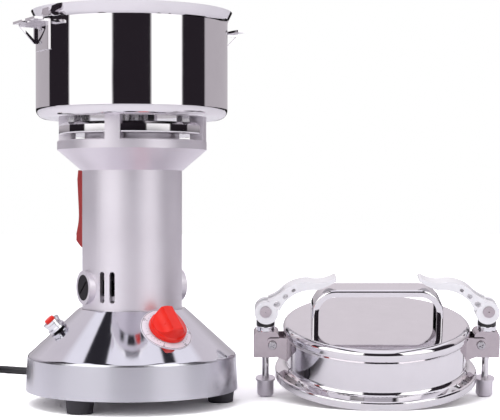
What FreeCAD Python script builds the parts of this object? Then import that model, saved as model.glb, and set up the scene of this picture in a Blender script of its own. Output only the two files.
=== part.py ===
import FreeCAD, Part
import math
import os
import re
import Sketcher
from FreeCAD import Placement, Rotation, Vector

# A swing-type electric grain mill: a motor column on a conical base, a grinding bowl on top,
# and the bowl's lid, taken off and leaning on its two clamp nuts beside the mill.
# Millimetres, +Z up. The origin is under the middle of the set, on the surface it stands on.
# Heights are above that surface. Azimuths are in degrees round the mill's axis, from the front
# (-Y) towards the right (+X).

SIZES = {
    # Base
    "foot_radius": 11.75, "foot_taper": 1.2, "foot_height": 12, "foot_circle": 75,
    "skirt_radius": 89.5, "shoulder_radius": 88.2, "shoulder_height": 41, "shoulder_round": 4,
    "cone_top_radius": 45.2, "cone_top_height": 80, "base_gauge": 1.5, "cover_gauge": 2,
    "cover_gap": 0.1, "stud_radius": 4.5, "wire_hole_radius": 30,
    "screw_radius": 2, "screw_head_radius": 3.8, "screw_head_height": 2.2, "screw_length": 16,
    # Motor column
    "column_radius": 42.2, "column_wall": 4, "column_top": 196.5,
    "boss_radius": 14, "boss_face": 45.5, "boss_height": 98.6,
    "cap_radius": 10.75, "cap_depth": 3, "cap_slot_width": 1.6, "cap_slot_depth": 1.2,
    "holder_radius": 6, "holder_inner": 20, "brush_width": 5, "brush_reach": 28, "fit_gap": 0.1,
    "vent_width": 4.7, "vent_low": 86.4, "vent_high": 112.4,
    # Top casting, its four posts and the plate that carries the bowl
    "rim_radius": 63.2, "rim_low": 214, "rim_high": 221.6, "rim_chamfer": 0.8,
    "flare_radius": 42.7, "spigot_length": 6.5, "spigot_wall": 3, "casting_wall": 6,
    "plate_boss_radius": 40, "post_width": 12.8, "post_depth": 11.2, "post_gap": 0.2,
    "plate_radius": 61.7, "plate_low": 226.3, "plate_rim_high": 233.6, "plate_high": 236,
    "plate_round": 1.6, "spacer_across": 10.5, "spacer_circle": 56.5,
    # Bowl
    "bowl_radius": 81, "bowl_low": 240, "bowl_corner": 8, "bowl_gauge": 1.2, "lip_start": 322,
    "lip_radius": 84.9, "bowl_top": 330,
    # Motor
    "shaft_radius": 5, "journal_radius": 4, "upper_shaft_radius": 6, "shaft_low": 84,
    "shaft_top": 284, "running_gap": 0.05,
    "lower_bearing_radius": 11, "lower_bearing_low": 84.6, "lower_bearing_height": 7,
    "upper_bearing_radius": 16, "upper_bearing_low": 206, "upper_bearing_height": 10,
    "bracket_low": 88, "bracket_height": 4,
    "commutator_radius": 12, "commutator_low": 93.5, "commutator_height": 12,
    "core_bore": 24.6, "core_low": 118, "core_height": 50, "coil_inner": 26, "coil_outer": 33,
    "coil_overhang": 6, "armature_radius": 24, "winding_radius": 19, "winding_overhang": 8,
    "fan_radius": 35, "fan_low": 178, "fan_disc": 2, "fan_vane_height": 8, "fan_hub_radius": 11,
    "fan_vanes": 9, "vane_gauge": 1.4,
    # Blades on the shaft, inside the bowl
    "blade_reach": 72, "blade_waist": 11, "blade_gauge": 2, "blade_low": 250, "blade_pitch": 12,
    "blade_count": 3, "blade_turn": 60, "blade_shrink": 7, "hub_radius": 10, "nut_across": 17,
    "nut_height": 8, "seal_housing_radius": 22, "seal_housing_height": 4.6, "seal_neck": 13,
    # Latch brackets on the bowl
    "latch_width": 27, "latch_wings": 47, "latch_low": 294.5, "latch_high": 319,
    "latch_gauge": 2, "latch_reach": 98, "latch_slot": 7, "latch_wing_start": 89,
    "gusset_offset": 12, "gusset_foot": 300.5, "gusset_tip": 314.5, "gusset_bar": 2.2,
    # Carrying handle
    "grip_width": 26, "grip_low": 130, "grip_high": 198, "grip_bulge": 73.7, "grip_bulge_height": 139,
    "grip_waist": 68.4, "grip_waist_height": 155, "grip_reach": 71.7, "grip_back": 48.5,
    "grip_hole_low": 143, "grip_hole_high": 186, "grip_inner": 58.5, "grip_round": 5, "handle_screw_inset": 9,
    # Timer, its dial and its knob
    "dial_radius": 22, "dial_gauge": 0.5, "dial_circle": 60.4, "timer_radius": 17,
    "timer_depth": 5, "timer_length": 24, "timer_neck_radius": 5, "timer_nut_across": 13,
    "timer_nut_height": 2.2, "spindle_radius": 3, "knob_radius": 16, "knob_skirt": 3.2,
    "knob_top_radius": 13.6, "knob_height": 14.5, "knob_lift": 0.5, "ridge_width": 5.4,
    "scoop_radius": 17,
    # Overload switch
    "breaker_circle": 63.3, "breaker_radius": 9, "breaker_length": 22, "neck_radius": 5.5,
    "collar_radius": 7.85, "collar_height": 10, "button_radius": 4.3, "button_proud": 2.7,
    # Lid, in its own frame: its origin is the middle of its top
    "lid_tilt": 13.3, "lid_side": 209.1, "lid_back": 20.4, "lid_bead_radius": 80.5,
    "lid_bead_depth": 8.5, "lid_wall_radius": 78, "lid_wall_depth": 38, "flange_radius": 87.3,
    "flange_top": 41.5, "flange_depth": 48.1, "lid_gauge": 1.2, "seal_gauge": 3.4,
    "lid_grip_length": 113, "lid_grip_height": 31.5, "lid_grip_width": 25, "lid_grip_corner": 21,
    "lid_grip_roll": 6, "lid_grip_gauge": 1.6,
    # Lid clamps
    "rod_side": 95.6, "rod_radius": 3, "pivot_side": 89.7, "pivot_depth": 18.1, "pivot_radius": 2,
    "block_inner": 84, "block_outer": 106, "block_width": 17, "block_top": 7, "block_low": 30,
    "block_round": 5, "clevis_gap": 0.25, "clevis_gauge": 1.5, "clevis_reach": 94, "clevis_top": 12.2,
    "clevis_low": 32.8,
    "washer_radius": 8, "washer_height": 4.2, "saddle_height": 2.3, "saddle_radius": 14,
    "cam_radius": 10.1, "cam_gap": 0.25, "cam_throw": 1.3, "cam_angle": 60,
    "fork_gap": 3.4, "lever_width": 16, "eye_radius": 5, "pin_radius": 2.5, "pin_head_radius": 5,
    "thumb_nut_flange": 8.6, "thumb_nut_radius": 7.2, "thumb_nut_top": 51.3, "thumb_nut_round": 2,
    "floor_gap": 0.1,
    # Mains cord and plug
    "cord_diameter": 7, "relief_reach": 118, "relief_height": 23, "relief_root": 6.6,
    "coil_outer_radius": 47.5, "coil_pitch": 7.5, "coil_turns": 2.4, "coil_run_in": 40, "plug_run": 20,
    "plug_boot": 14, "plug_length": 34, "plug_width": 25, "pin_length": 18,
    "blade_pin_gauge": 1.5, "blade_pin_width": 6.3, "blade_pin_side": 6.35, "blade_pin_lift": 3,
    "ground_pin_radius": 2.4, "ground_pin_drop": 6,
}

HANDLE_AZIMUTH = -144.0
BRUSH_AZIMUTHS = (-59.4, 120.6)
LATCH_AZIMUTHS = (-59.4, 120.6)
FOOT_AZIMUTHS = (-29.4, 90.6, -149.4)
VENT_AZIMUTHS = (-31.4, -18.4, 148.6, 161.6)
POST_AZIMUTHS = (-10.1, 79.9, 169.9, -100.1)
SPACER_AZIMUTHS = (-53, 53, 127, -127)
COLUMN_SCREW_AZIMUTHS = (45, 135, 225, 315)
TIMER_AZIMUTH = 32.5
BREAKER_AZIMUTH = -72.0
CORD_AZIMUTH = 180.0

# The cord's route round the back of the base, from the mill's axis: right, back and up.
CORD_ROUTE = ((0, 118, 23), (0, 142, 23), (-6, 165, 14.5), (-23, 183, 5.5), (-52, 188, 3.5),
              (-82, 184, 3.5), (-113, 190, 3.5), (-146, 208, 3.5))

# The lever's outline from its cam, in the lid's frame: side, height.
LEVER_TOP = ((-93.6, 21.2), (-86.6, 24.6), (-79.9, 30.4), (-69.5, 36.0), (-58.7, 37.3),
             (-47.5, 36.9), (-37.2, 40.7))
LEVER_TIP = (-35.2, 39.4)
LEVER_FOOT = ((-36.6, 37.4), (-43.2, 33.4), (-51.0, 30.5), (-61.5, 29.9), (-69.9, 27.0),
              (-77.6, 21.2), (-83.6, 11.6))
# Each hole through the lever: side, height, length, width.
LEVER_HOLES = ((-86.6, 17.2, 7.4, 4.6), (-79.2, 24.4, 6.0, 3.8), (-72.2, 29.9, 4.6, 2.8))

doc = FreeCAD.newDocument("GrainMill")
sheet = doc.addObject("Spreadsheet::Sheet", "Sheet")
for row, (alias, amount) in enumerate(SIZES.items(), 1):
    sheet.set(f"A{row}", alias)
    sheet.set(f"B{row}", str(amount))
    sheet.setAlias(f"B{row}", alias)
doc.recompute()
size = {alias: float(sheet.get(alias)) for alias in SIZES}
pieces = {}


def bound(text):
    """The expression that reads the named sizes in a text from the sheet."""
    return re.sub(r"[a-z]\w+", lambda word: "Sheet." + word.group(), str(text))


def keep(name, shape_object, place=Placement()):
    """Names a finished sub-part and puts it in its place."""
    shape_object.Label = name
    shape_object.Placement = place.multiply(shape_object.Placement)
    pieces[name] = shape_object
    return shape_object


def outline(body, plane_role, corners):
    """A closed sketch of straight sides whose corners are bound to the sheet."""
    sketch = body.newObject("Sketcher::SketchObject", "Outline")
    plane = next(f for f in body.Origin.OriginFeatures if f.Role == plane_role)
    sketch.AttachmentSupport = [(plane, "")]
    sketch.MapMode = "FlatFace"
    count = len(corners)
    turn = 2 * math.pi / count
    start = [Vector(50 + 40 * math.cos(i * turn), 50 + 40 * math.sin(i * turn), 0)
             for i in range(count)]
    for i in range(count):
        sketch.addGeometry(Part.LineSegment(start[i], start[(i + 1) % count]), False)
    for i in range(count):
        sketch.addConstraint(Sketcher.Constraint("Coincident", i, 2, (i + 1) % count, 1))
    for i, (across, along) in enumerate(corners):
        for kind, label, text in (("DistanceX", "across", across), ("DistanceY", "along", along)):
            number = sketch.addConstraint(Sketcher.Constraint(kind, i, 1, start[i].x))
            sketch.renameConstraint(number, f"{label}_{i}")
            sketch.setExpression(f"Constraints.{label}_{i}", bound(text))
    return sketch


def corner_edges(sketch, shape, corner):
    """The edges of a turned or padded shape that one corner of its sketch makes."""
    point = sketch.Geometry[corner].StartPoint
    inverse = sketch.Placement.inverse()

    def on_corner(vertex):
        local = inverse.multVec(vertex.Point)
        return abs(local.x - point.x) < 1e-4 and abs(local.y - point.y) < 1e-4

    return [f"Edge{n}" for n, edge in enumerate(shape.Edges, 1)
            if edge.Vertexes and all(on_corner(v) for v in edge.Vertexes)]


def round_corners(body, feature, sketch, rounds):
    """Fillets, or chamfers where the size's name says so, on corners of the sketch."""
    for corner, text in rounds.items():
        kind, field = ("Chamfer", "Size") if "chamfer" in text else ("Fillet", "Radius")
        doc.recompute()
        softened = body.newObject(f"PartDesign::{kind}", kind)
        softened.Base = (feature, corner_edges(sketch, feature.Shape, corner))
        softened.setExpression(field, bound(text))
        feature = softened
    return feature


def turned(name, corners, rounds=None):
    """A body turned about its Z axis from an outline of (radius, height) corners."""
    body = doc.addObject("PartDesign::Body", name)
    sketch = outline(body, "XZ_Plane", corners)
    turn = body.newObject("PartDesign::Revolution", "Turn")
    turn.Profile = sketch
    turn.ReferenceAxis = (sketch, ["V_Axis"])
    turn.Angle = 360
    round_corners(body, turn, sketch, rounds or {})
    return body


def padded(name, plane_role, corners, depth, rounds=None, middle=True, backwards=False):
    """A body padded from an outline, to both sides of its plane or to one."""
    body = doc.addObject("PartDesign::Body", name)
    sketch = outline(body, plane_role, corners)
    pad = body.newObject("PartDesign::Pad", "Pad")
    pad.Profile = sketch
    pad.setExpression("Length", bound(depth))
    pad.Midplane = middle
    pad.Reversed = backwards
    round_corners(body, pad, sketch, rounds or {})
    return body


def hollowed(body, height, gauge):
    """Shells a turned body inwards, open at its flat face at a height."""
    doc.recompute()
    tip = body.Tip
    opened = [f"Face{n}" for n, face in enumerate(tip.Shape.Faces, 1)
              if face.BoundBox.ZLength < 1e-3 and abs(face.CenterOfMass.z - height) < 1e-3]
    shell = body.newObject("PartDesign::Thickness", "Hollow")
    shell.Base = (tip, opened)
    shell.setExpression("Value", bound(gauge))
    shell.Reversed = True
    return body


def placed(shape_object, place):
    shape_object.Placement = place
    return shape_object


def cylinder(name, radius, height, place=Placement()):
    rod = doc.addObject("Part::Cylinder", name)
    rod.setExpression("Radius", bound(radius))
    rod.setExpression("Height", bound(height))
    return placed(rod, place)


def brick(name, length, width, height, place=Placement()):
    """A box centred on its place, but standing on it."""
    block = doc.addObject("Part::Box", name)
    block.setExpression("Length", bound(length))
    block.setExpression("Width", bound(width))
    block.setExpression("Height", bound(height))
    doc.recompute()
    half = Vector(-block.Length.Value / 2, -block.Width.Value / 2, 0)
    return placed(block, place.multiply(Placement(half, Rotation())))


def joined(name, solids):
    fuse = doc.addObject("Part::MultiFuse", name)
    fuse.Shapes = solids
    return fuse


def cut(name, base, tools):
    difference = doc.addObject("Part::Cut", name)
    difference.Base = base
    difference.Tool = tools[0] if len(tools) == 1 else joined(name + "_tools", tools)
    return difference


def common(name, first, second):
    overlap = doc.addObject("Part::Common", name)
    overlap.Base = first
    overlap.Tool = second
    return overlap


def grouped(name, solids):
    """Separate solids that share one node."""
    group = doc.addObject("Part::Compound", name)
    group.Links = solids
    return group


def shaped(name, shape):
    feature = doc.addObject("Part::Feature", name)
    feature.Shape = shape
    return feature


def at(x=0.0, y=0.0, z=0.0, axis=Vector(0, 0, 1), angle=0.0):
    return Placement(Vector(x, y, z), Rotation(axis, angle))


def facing(azimuth):
    """Turns local +X to an azimuth round the mill's axis."""
    return at(angle=azimuth - 90)


def radial(azimuth, radius, height):
    """Local +Z points outwards along an azimuth."""
    return facing(azimuth).multiply(at(radius, 0, height, Vector(0, 1, 0), 90))


RIGHT, BACK, UP = Vector(1, 0, 0), Vector(0, 1, 0), Vector(0, 0, 1)
base_low = size["foot_height"]
cone_rise = size["cone_top_height"] - size["shoulder_height"]
cone_run = size["shoulder_radius"] - size["cone_top_radius"]
cone_lean = math.degrees(math.atan2(cone_rise, cone_run))
tilt = math.radians(size["lid_tilt"])

# The middle of the set, from the mill's axis.
lid_depth_back = size["flange_radius"] * math.cos(tilt) + size["flange_depth"] * math.sin(tilt)
latch_side = size["latch_reach"] * math.sin(math.radians(abs(LATCH_AZIMUTHS[0]))) \
    + size["latch_wings"] / 2 * math.cos(math.radians(LATCH_AZIMUTHS[0]))
mill_x = -(size["lid_side"] + size["block_outer"] - latch_side) / 2
mill_y = -(size["lid_back"] + lid_depth_back - size["skirt_radius"]) / 2
MILL = at(mill_x, mill_y)
# The lid leans until the front edge of its flange is on the floor.
lid_height = size["flange_radius"] * math.sin(tilt) + size["flange_depth"] * math.cos(tilt)
LID = at(mill_x + size["lid_side"], mill_y + size["lid_back"], lid_height, RIGHT, size["lid_tilt"])


def on_cone(azimuth, radius):
    """Local +Z stands square on the base's cone, and local +X points down its slope."""
    height = size["shoulder_height"] + (size["shoulder_radius"] - radius) * cone_rise / cone_run
    return facing(azimuth).multiply(at(radius, 0, height, BACK, cone_lean))


def pan_screw(name, place, length="screw_length", radius="screw_radius",
              head="screw_head_radius", head_height="screw_head_height"):
    """A pan-head screw whose head stands on its place and whose shank goes down from it."""
    return placed(turned(name, [("0", f"-({length})"), (radius, f"-({length})"), (radius, "0"),
                                (head, "0"), (head, head_height), ("0", head_height)]), place)


def build_base():
    shell = turned("BaseForm", [("0", "foot_height"), ("skirt_radius", "foot_height"),
                                ("shoulder_radius", "shoulder_height"),
                                ("cone_top_radius", "cone_top_height"),
                                ("0", "cone_top_height")], {2: "shoulder_round"})
    hollowed(shell, base_low, "base_gauge")
    studs = []
    for azimuth in FOOT_AZIMUTHS:
        stud = cylinder("Stud", "stud_radius", "shoulder_height-foot_height-cover_gauge",
                        facing(azimuth).multiply(at(size["foot_circle"], 0,
                                                    base_low + size["cover_gauge"])))
        studs.append(stud)
    cone_room = turned("ConeRoom", [("0", "foot_height"),
                                    ("skirt_radius-base_gauge/2", "foot_height"),
                                    ("shoulder_radius-base_gauge/2", "shoulder_height"),
                                    ("cone_top_radius-base_gauge", "cone_top_height-base_gauge/2"),
                                    ("0", "cone_top_height-base_gauge/2")])
    tall_studs = []
    for stud in studs:
        stud.setExpression("Height", bound("cone_top_height-foot_height-cover_gauge"))
        tall_studs.append(stud)
    fitted = common("FittedStuds", joined("Studs", tall_studs), cone_room)
    holes = [cylinder("WireHole", "wire_hole_radius", "base_gauge*4",
                      at(z=size["cone_top_height"] - 3 * size["base_gauge"])),
             cylinder("TimerHole", "timer_neck_radius+fit_gap", "20",
                      on_cone(TIMER_AZIMUTH, size["dial_circle"]).multiply(at(z=-10))),
             cylinder("BreakerHole", "neck_radius+fit_gap", "20",
                      on_cone(BREAKER_AZIMUTH, size["breaker_circle"]).multiply(at(z=-10))),
             cylinder("CordHole", "relief_root+fit_gap", "20",
                      radial(CORD_AZIMUTH, size["skirt_radius"] - 10, size["relief_height"]))]
    holes += [cylinder("ColumnScrewHole", "screw_radius+fit_gap", "base_gauge*4",
                       facing(azimuth).multiply(at(size["column_radius"] - size["column_wall"] - 3.5,
                                                   0, size["cone_top_height"] - 4)))
              for azimuth in COLUMN_SCREW_AZIMUTHS]
    for azimuth in FOOT_AZIMUTHS:
        holes.append(cylinder("StudThread", "screw_radius", "screw_length+2",
                              facing(azimuth).multiply(at(size["foot_circle"], 0, base_low))))
    keep("base_shell", cut("BaseShell", joined("BaseJoined", [shell, fitted]), holes), MILL)

    cover = cylinder("Cover", "skirt_radius-base_gauge-cover_gap", "cover_gauge", at(z=base_low))
    cover_holes = [cylinder("CoverHole", "screw_radius+fit_gap", "cover_gauge*3",
                            facing(azimuth).multiply(at(size["foot_circle"], 0, base_low - 2)))
                   for azimuth in FOOT_AZIMUTHS]
    keep("bottom_cover", cut("BottomCover", cover, cover_holes), MILL)

    feet, screws = [], []
    for azimuth in FOOT_AZIMUTHS:
        foot = turned("Foot", [("screw_radius+fit_gap", "foot_height/2"),
                               ("screw_radius+fit_gap", "foot_height"),
                               ("foot_radius", "foot_height"), ("foot_radius-foot_taper", "0"),
                               ("screw_head_radius+1", "0"), ("screw_head_radius+1", "foot_height/2")],
                      {3: "foot_taper"})
        feet.append(placed(foot, facing(azimuth).multiply(at(size["foot_circle"]))))
        screws.append(pan_screw("FootScrew", facing(azimuth).multiply(
            at(size["foot_circle"], 0, base_low / 2, RIGHT, 180))))
    keep("rubber_feet", grouped("RubberFeet", feet), MILL)
    keep("foot_screws", grouped("FootScrews", screws), MILL)


def build_column():
    tube = turned("ColumnTube", [("column_radius-column_wall", "cone_top_height"),
                                 ("column_radius", "cone_top_height"),
                                 ("column_radius", "column_top"),
                                 ("column_radius-column_wall", "column_top")])
    bosses = [cylinder("BrushBoss", "boss_radius", "boss_face-column_radius+column_wall+2",
                       radial(azimuth, size["column_radius"] - size["column_wall"] - 2,
                              size["boss_height"]))
              for azimuth in BRUSH_AZIMUTHS]
    bore = cylinder("MotorBore", "column_radius-column_wall", "column_top",
                    at(z=size["cone_top_height"] - 1))
    foot_length = "bracket_low-cone_top_height"
    feet, threads = [], []
    for azimuth in COLUMN_SCREW_AZIMUTHS:
        spot = facing(azimuth).multiply(at(size["column_radius"] - size["column_wall"] - 3.5, 0,
                                           size["cone_top_height"]))
        feet.append(cylinder("ScrewFoot", "stud_radius", foot_length, spot))
        threads.append(cylinder("Thread", "screw_radius", foot_length, spot))
    tools = list(threads)
    for height in ("grip_hole_low", "grip_hole_high"):
        inset = size["handle_screw_inset"] * (1 if height == "grip_hole_low" else -1)
        tools.append(cylinder("HandleThread", "screw_radius", "grip_back",
                              radial(HANDLE_AZIMUTH, size["column_radius"] / 2,
                                     size[height] + inset)))
    for azimuth in BRUSH_AZIMUTHS:
        tools.append(cylinder("HolderBore", "holder_radius+fit_gap/2", "boss_face",
                              radial(azimuth, size["holder_inner"], size["boss_height"])))
        tools.append(cylinder("CapSeat", "cap_radius+fit_gap", "cap_depth+1",
                              radial(azimuth, size["boss_face"] - size["cap_depth"],
                                     size["boss_height"])))
    half = "vent_width/2"
    for azimuth in VENT_AZIMUTHS:
        vent = padded("Vent", "YZ_Plane", [(f"-{half}", "vent_low"), (half, "vent_low"),
                                           (half, "vent_high"), (f"-{half}", "vent_high")],
                      "column_wall*4", {n: "vent_width/2.05" for n in range(4)})
        tools.append(placed(vent, facing(azimuth).multiply(at(size["column_radius"]))))
    walls = cut("ColumnWalls", joined("TubeAndBosses", [tube] + bosses), [bore])
    keep("column_casting", cut("Column", joined("ColumnJoined", [walls] + feet), tools), MILL)

    screws = [pan_screw("ColumnScrew", facing(azimuth).multiply(
        at(size["column_radius"] - size["column_wall"] - 3.5, 0,
           size["cone_top_height"] - size["base_gauge"], RIGHT, 180)), "base_gauge+7")
        for azimuth in COLUMN_SCREW_AZIMUTHS]
    keep("column_screws", grouped("ColumnScrews", screws), MILL)

    holders, brushes, caps = [], [], []
    for azimuth in BRUSH_AZIMUTHS:
        seat = size["boss_face"] - size["cap_depth"]
        spot = radial(azimuth, size["holder_inner"], size["boss_height"])
        tube = cylinder("HolderTube", "holder_radius",
                        "boss_face-cap_depth-holder_inner", spot)
        window = brick("HolderWindow", "brush_width+fit_gap", "brush_width+2+fit_gap",
                       "boss_face", spot)
        holders.append(cut("Holder", tube, [window]))
        brushes.append(brick("Brush", "brush_width", "brush_width+2",
                             "brush_reach-commutator_radius-running_gap",
                             radial(azimuth, size["commutator_radius"] + size["running_gap"],
                                    size["boss_height"])))
        brushes.append(cylinder("BrushSpring", "brush_width/2-0.2",
                                "boss_face-cap_depth-brush_reach",
                                radial(azimuth, size["brush_reach"], size["boss_height"])))
        disc = cylinder("CapDisc", "cap_radius", "cap_depth",
                        radial(azimuth, seat, size["boss_height"]))
        slot = brick("CapSlot", "cap_slot_width", "cap_radius*1.5", "cap_slot_depth+1",
                     radial(azimuth, size["boss_face"] - size["cap_slot_depth"],
                            size["boss_height"]).multiply(at(angle=40)))
        caps.append(cut("BrushCap", disc, [slot]))
    for name, solids in (("brush_holders", holders), ("carbon_brushes", brushes),
                         ("brush_caps", caps)):
        keep(name, grouped(name.title().replace("_", ""), solids), MILL)


def post(name, width, gap, top):
    """One post of the top casting, or with a gap, the notch that clears it."""
    ring = turned(name + "Ring", [(f"rim_radius-post_depth-{gap}", "rim_high-1"),
                                  (f"rim_radius+{gap}", "rim_high-1"),
                                  (f"rim_radius+{gap}", top),
                                  (f"rim_radius-post_depth-{gap}", top)])
    slabs = [brick(name + "Slab", "rim_radius", width, "bowl_low",
                   facing(azimuth).multiply(at(size["rim_radius"])))
             for azimuth in POST_AZIMUTHS]
    return common(name, ring, joined(name + "Slabs", slabs))


def build_top():
    bearing_top = "upper_bearing_low+upper_bearing_height"
    casting = turned("CastingForm", [
        ("column_radius-column_wall-fit_gap-spigot_wall", "column_top-spigot_length"),
        ("column_radius-column_wall-fit_gap", "column_top-spigot_length"),
        ("column_radius-column_wall-fit_gap", "column_top"),
        ("flare_radius", "column_top"), ("rim_radius", "rim_low"), ("rim_radius", "rim_high"),
        ("plate_boss_radius", "rim_high"), ("plate_boss_radius", "plate_low"),
        ("upper_shaft_radius+1", "plate_low"), ("upper_shaft_radius+1", bearing_top),
        ("upper_bearing_radius", bearing_top), ("upper_bearing_radius", "upper_bearing_low"),
        ("upper_bearing_radius+4", "upper_bearing_low"),
        ("upper_bearing_radius+4", "rim_high-casting_wall"),
        ("rim_radius-casting_wall-3", "rim_high-casting_wall"),
        ("column_radius-column_wall-fit_gap-spigot_wall", "column_top+2")],
        {5: "rim_chamfer"})
    keep("top_casting", joined("TopCasting", [casting, post("Post", "post_width", "0", "bowl_low")]),
         MILL)

    plate = turned("PlateForm", [("seal_neck+fit_gap", "plate_low"), ("plate_radius", "plate_low"),
                                 ("plate_radius", "plate_rim_high"),
                                 ("plate_radius-2.4", "plate_high"),
                                 ("seal_neck+fit_gap", "plate_high")], {1: "plate_round"})
    notches = post("Notch", "post_width+2*post_gap", "post_gap", "bowl_low")
    threads = [cylinder("PlateThread", "screw_radius", "20",
                        facing(azimuth).multiply(at(size["spacer_circle"], 0,
                                                    size["plate_high"] - 10)))
               for azimuth in SPACER_AZIMUTHS]
    keep("bearing_plate", cut("BearingPlate", plate, [notches] + threads), MILL)

    spacers, screws = [], []
    for azimuth in SPACER_AZIMUTHS:
        spot = facing(azimuth).multiply(at(size["spacer_circle"], 0, size["plate_high"]))
        hexagon = doc.addObject("Part::Prism", "SpacerHex")
        hexagon.Polygon = 6
        hexagon.setExpression("Circumradius", bound("spacer_across/1.732"))
        hexagon.setExpression("Height", bound("bowl_low-plate_high"))
        hole = cylinder("SpacerHole", "screw_radius+fit_gap", "20", spot.multiply(at(z=-5)))
        spacers.append(cut("Spacer", placed(hexagon, spot), [hole]))
        screws.append(pan_screw("BowlScrew", spot.multiply(
            at(z=size["bowl_low"] - size["plate_high"] + size["bowl_gauge"])),
            "bowl_gauge+bowl_low-plate_high+8"))
    keep("bowl_spacers", grouped("BowlSpacers", spacers), MILL)
    keep("bowl_screws", grouped("BowlScrews", screws), MILL)


def build_bowl():
    form = turned("BowlForm", [("0", "bowl_low"), ("bowl_radius", "bowl_low"),
                               ("bowl_radius", "lip_start"), ("lip_radius", "bowl_top"),
                               ("0", "bowl_top")], {1: "bowl_corner", 2: "bowl_corner"})
    hollowed(form, size["bowl_top"], "bowl_gauge")
    tools = [cylinder("HubHole", "seal_neck+fit_gap", "bowl_gauge*4",
                      at(z=size["bowl_low"] - size["bowl_gauge"]))]
    tools += [cylinder("BowlHole", "screw_radius+fit_gap", "bowl_gauge*4",
                       facing(azimuth).multiply(at(size["spacer_circle"], 0,
                                                   size["bowl_low"] - size["bowl_gauge"])))
              for azimuth in SPACER_AZIMUTHS]
    keep("grinding_bowl", cut("Bowl", form, tools), MILL)

    wall = "bowl_radius+fit_gap/2"
    half, wing = "latch_width/2", "latch_wings/2"
    top = "latch_high-latch_gauge"
    brackets = []
    for azimuth in LATCH_AZIMUTHS:
        back = turned("LatchBack", [(wall, "latch_low"), (f"{wall}+latch_gauge", "latch_low"),
                                    (f"{wall}+latch_gauge", "latch_high"), (wall, "latch_high")])
        slab = brick("LatchSlab", "bowl_radius", "latch_width", "latch_high",
                     at(size["bowl_radius"]))
        flat = padded("LatchTop", "XY_Plane", [
            ("bowl_radius", f"-{half}"), ("latch_wing_start", f"-{half}"),
            ("latch_wing_start", f"-{wing}"), ("latch_reach", f"-{wing}"),
            ("latch_reach", "-latch_slot/2"), ("rod_side-latch_slot/2", "-latch_slot/2"),
            ("rod_side-latch_slot/2", "latch_slot/2"), ("latch_reach", "latch_slot/2"),
            ("latch_reach", wing), ("latch_wing_start", wing), ("latch_wing_start", half),
            ("bowl_radius", half)], "latch_gauge",
            {2: "latch_gauge", 9: "latch_gauge", 5: "latch_slot/2.1", 6: "latch_slot/2.1"},
            middle=False)
        flat = placed(flat, at(z=size["latch_high"] - size["latch_gauge"]))
        clear = cylinder("BowlClear", wall, "latch_high+5")
        outer = padded("Gusset", "XZ_Plane", [
            ("bowl_radius-1", "gusset_foot"), ("bowl_radius+latch_gauge+1", "gusset_foot"),
            ("latch_reach-1", "gusset_tip"), ("latch_reach-1", top),
            ("bowl_radius-1", top)], "latch_gauge")
        window = padded("GussetWindow", "XZ_Plane", [
            ("bowl_radius+latch_gauge+gusset_bar/2", "gusset_foot+gusset_bar*1.6"),
            ("latch_reach-gusset_bar*1.6", "gusset_tip-0.6"),
            ("bowl_radius+latch_gauge+gusset_bar/2", "gusset_tip-0.6")], "latch_gauge*3")
        gusset = placed(cut("OpenGusset", outer, [window]), at(0, -size["gusset_offset"]))
        bracket = joined("LatchJoined", [common("LatchWall", back, slab), flat, gusset])
        brackets.append(placed(cut("Latch", bracket, [clear]), facing(azimuth)))
    keep("latch_brackets", grouped("LatchBrackets", brackets), MILL)


def ring(name, inner, outer, low, height):
    return turned(name, [(inner, low), (outer, low), (outer, f"{low}+{height}"),
                         (inner, f"{low}+{height}")])


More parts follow.
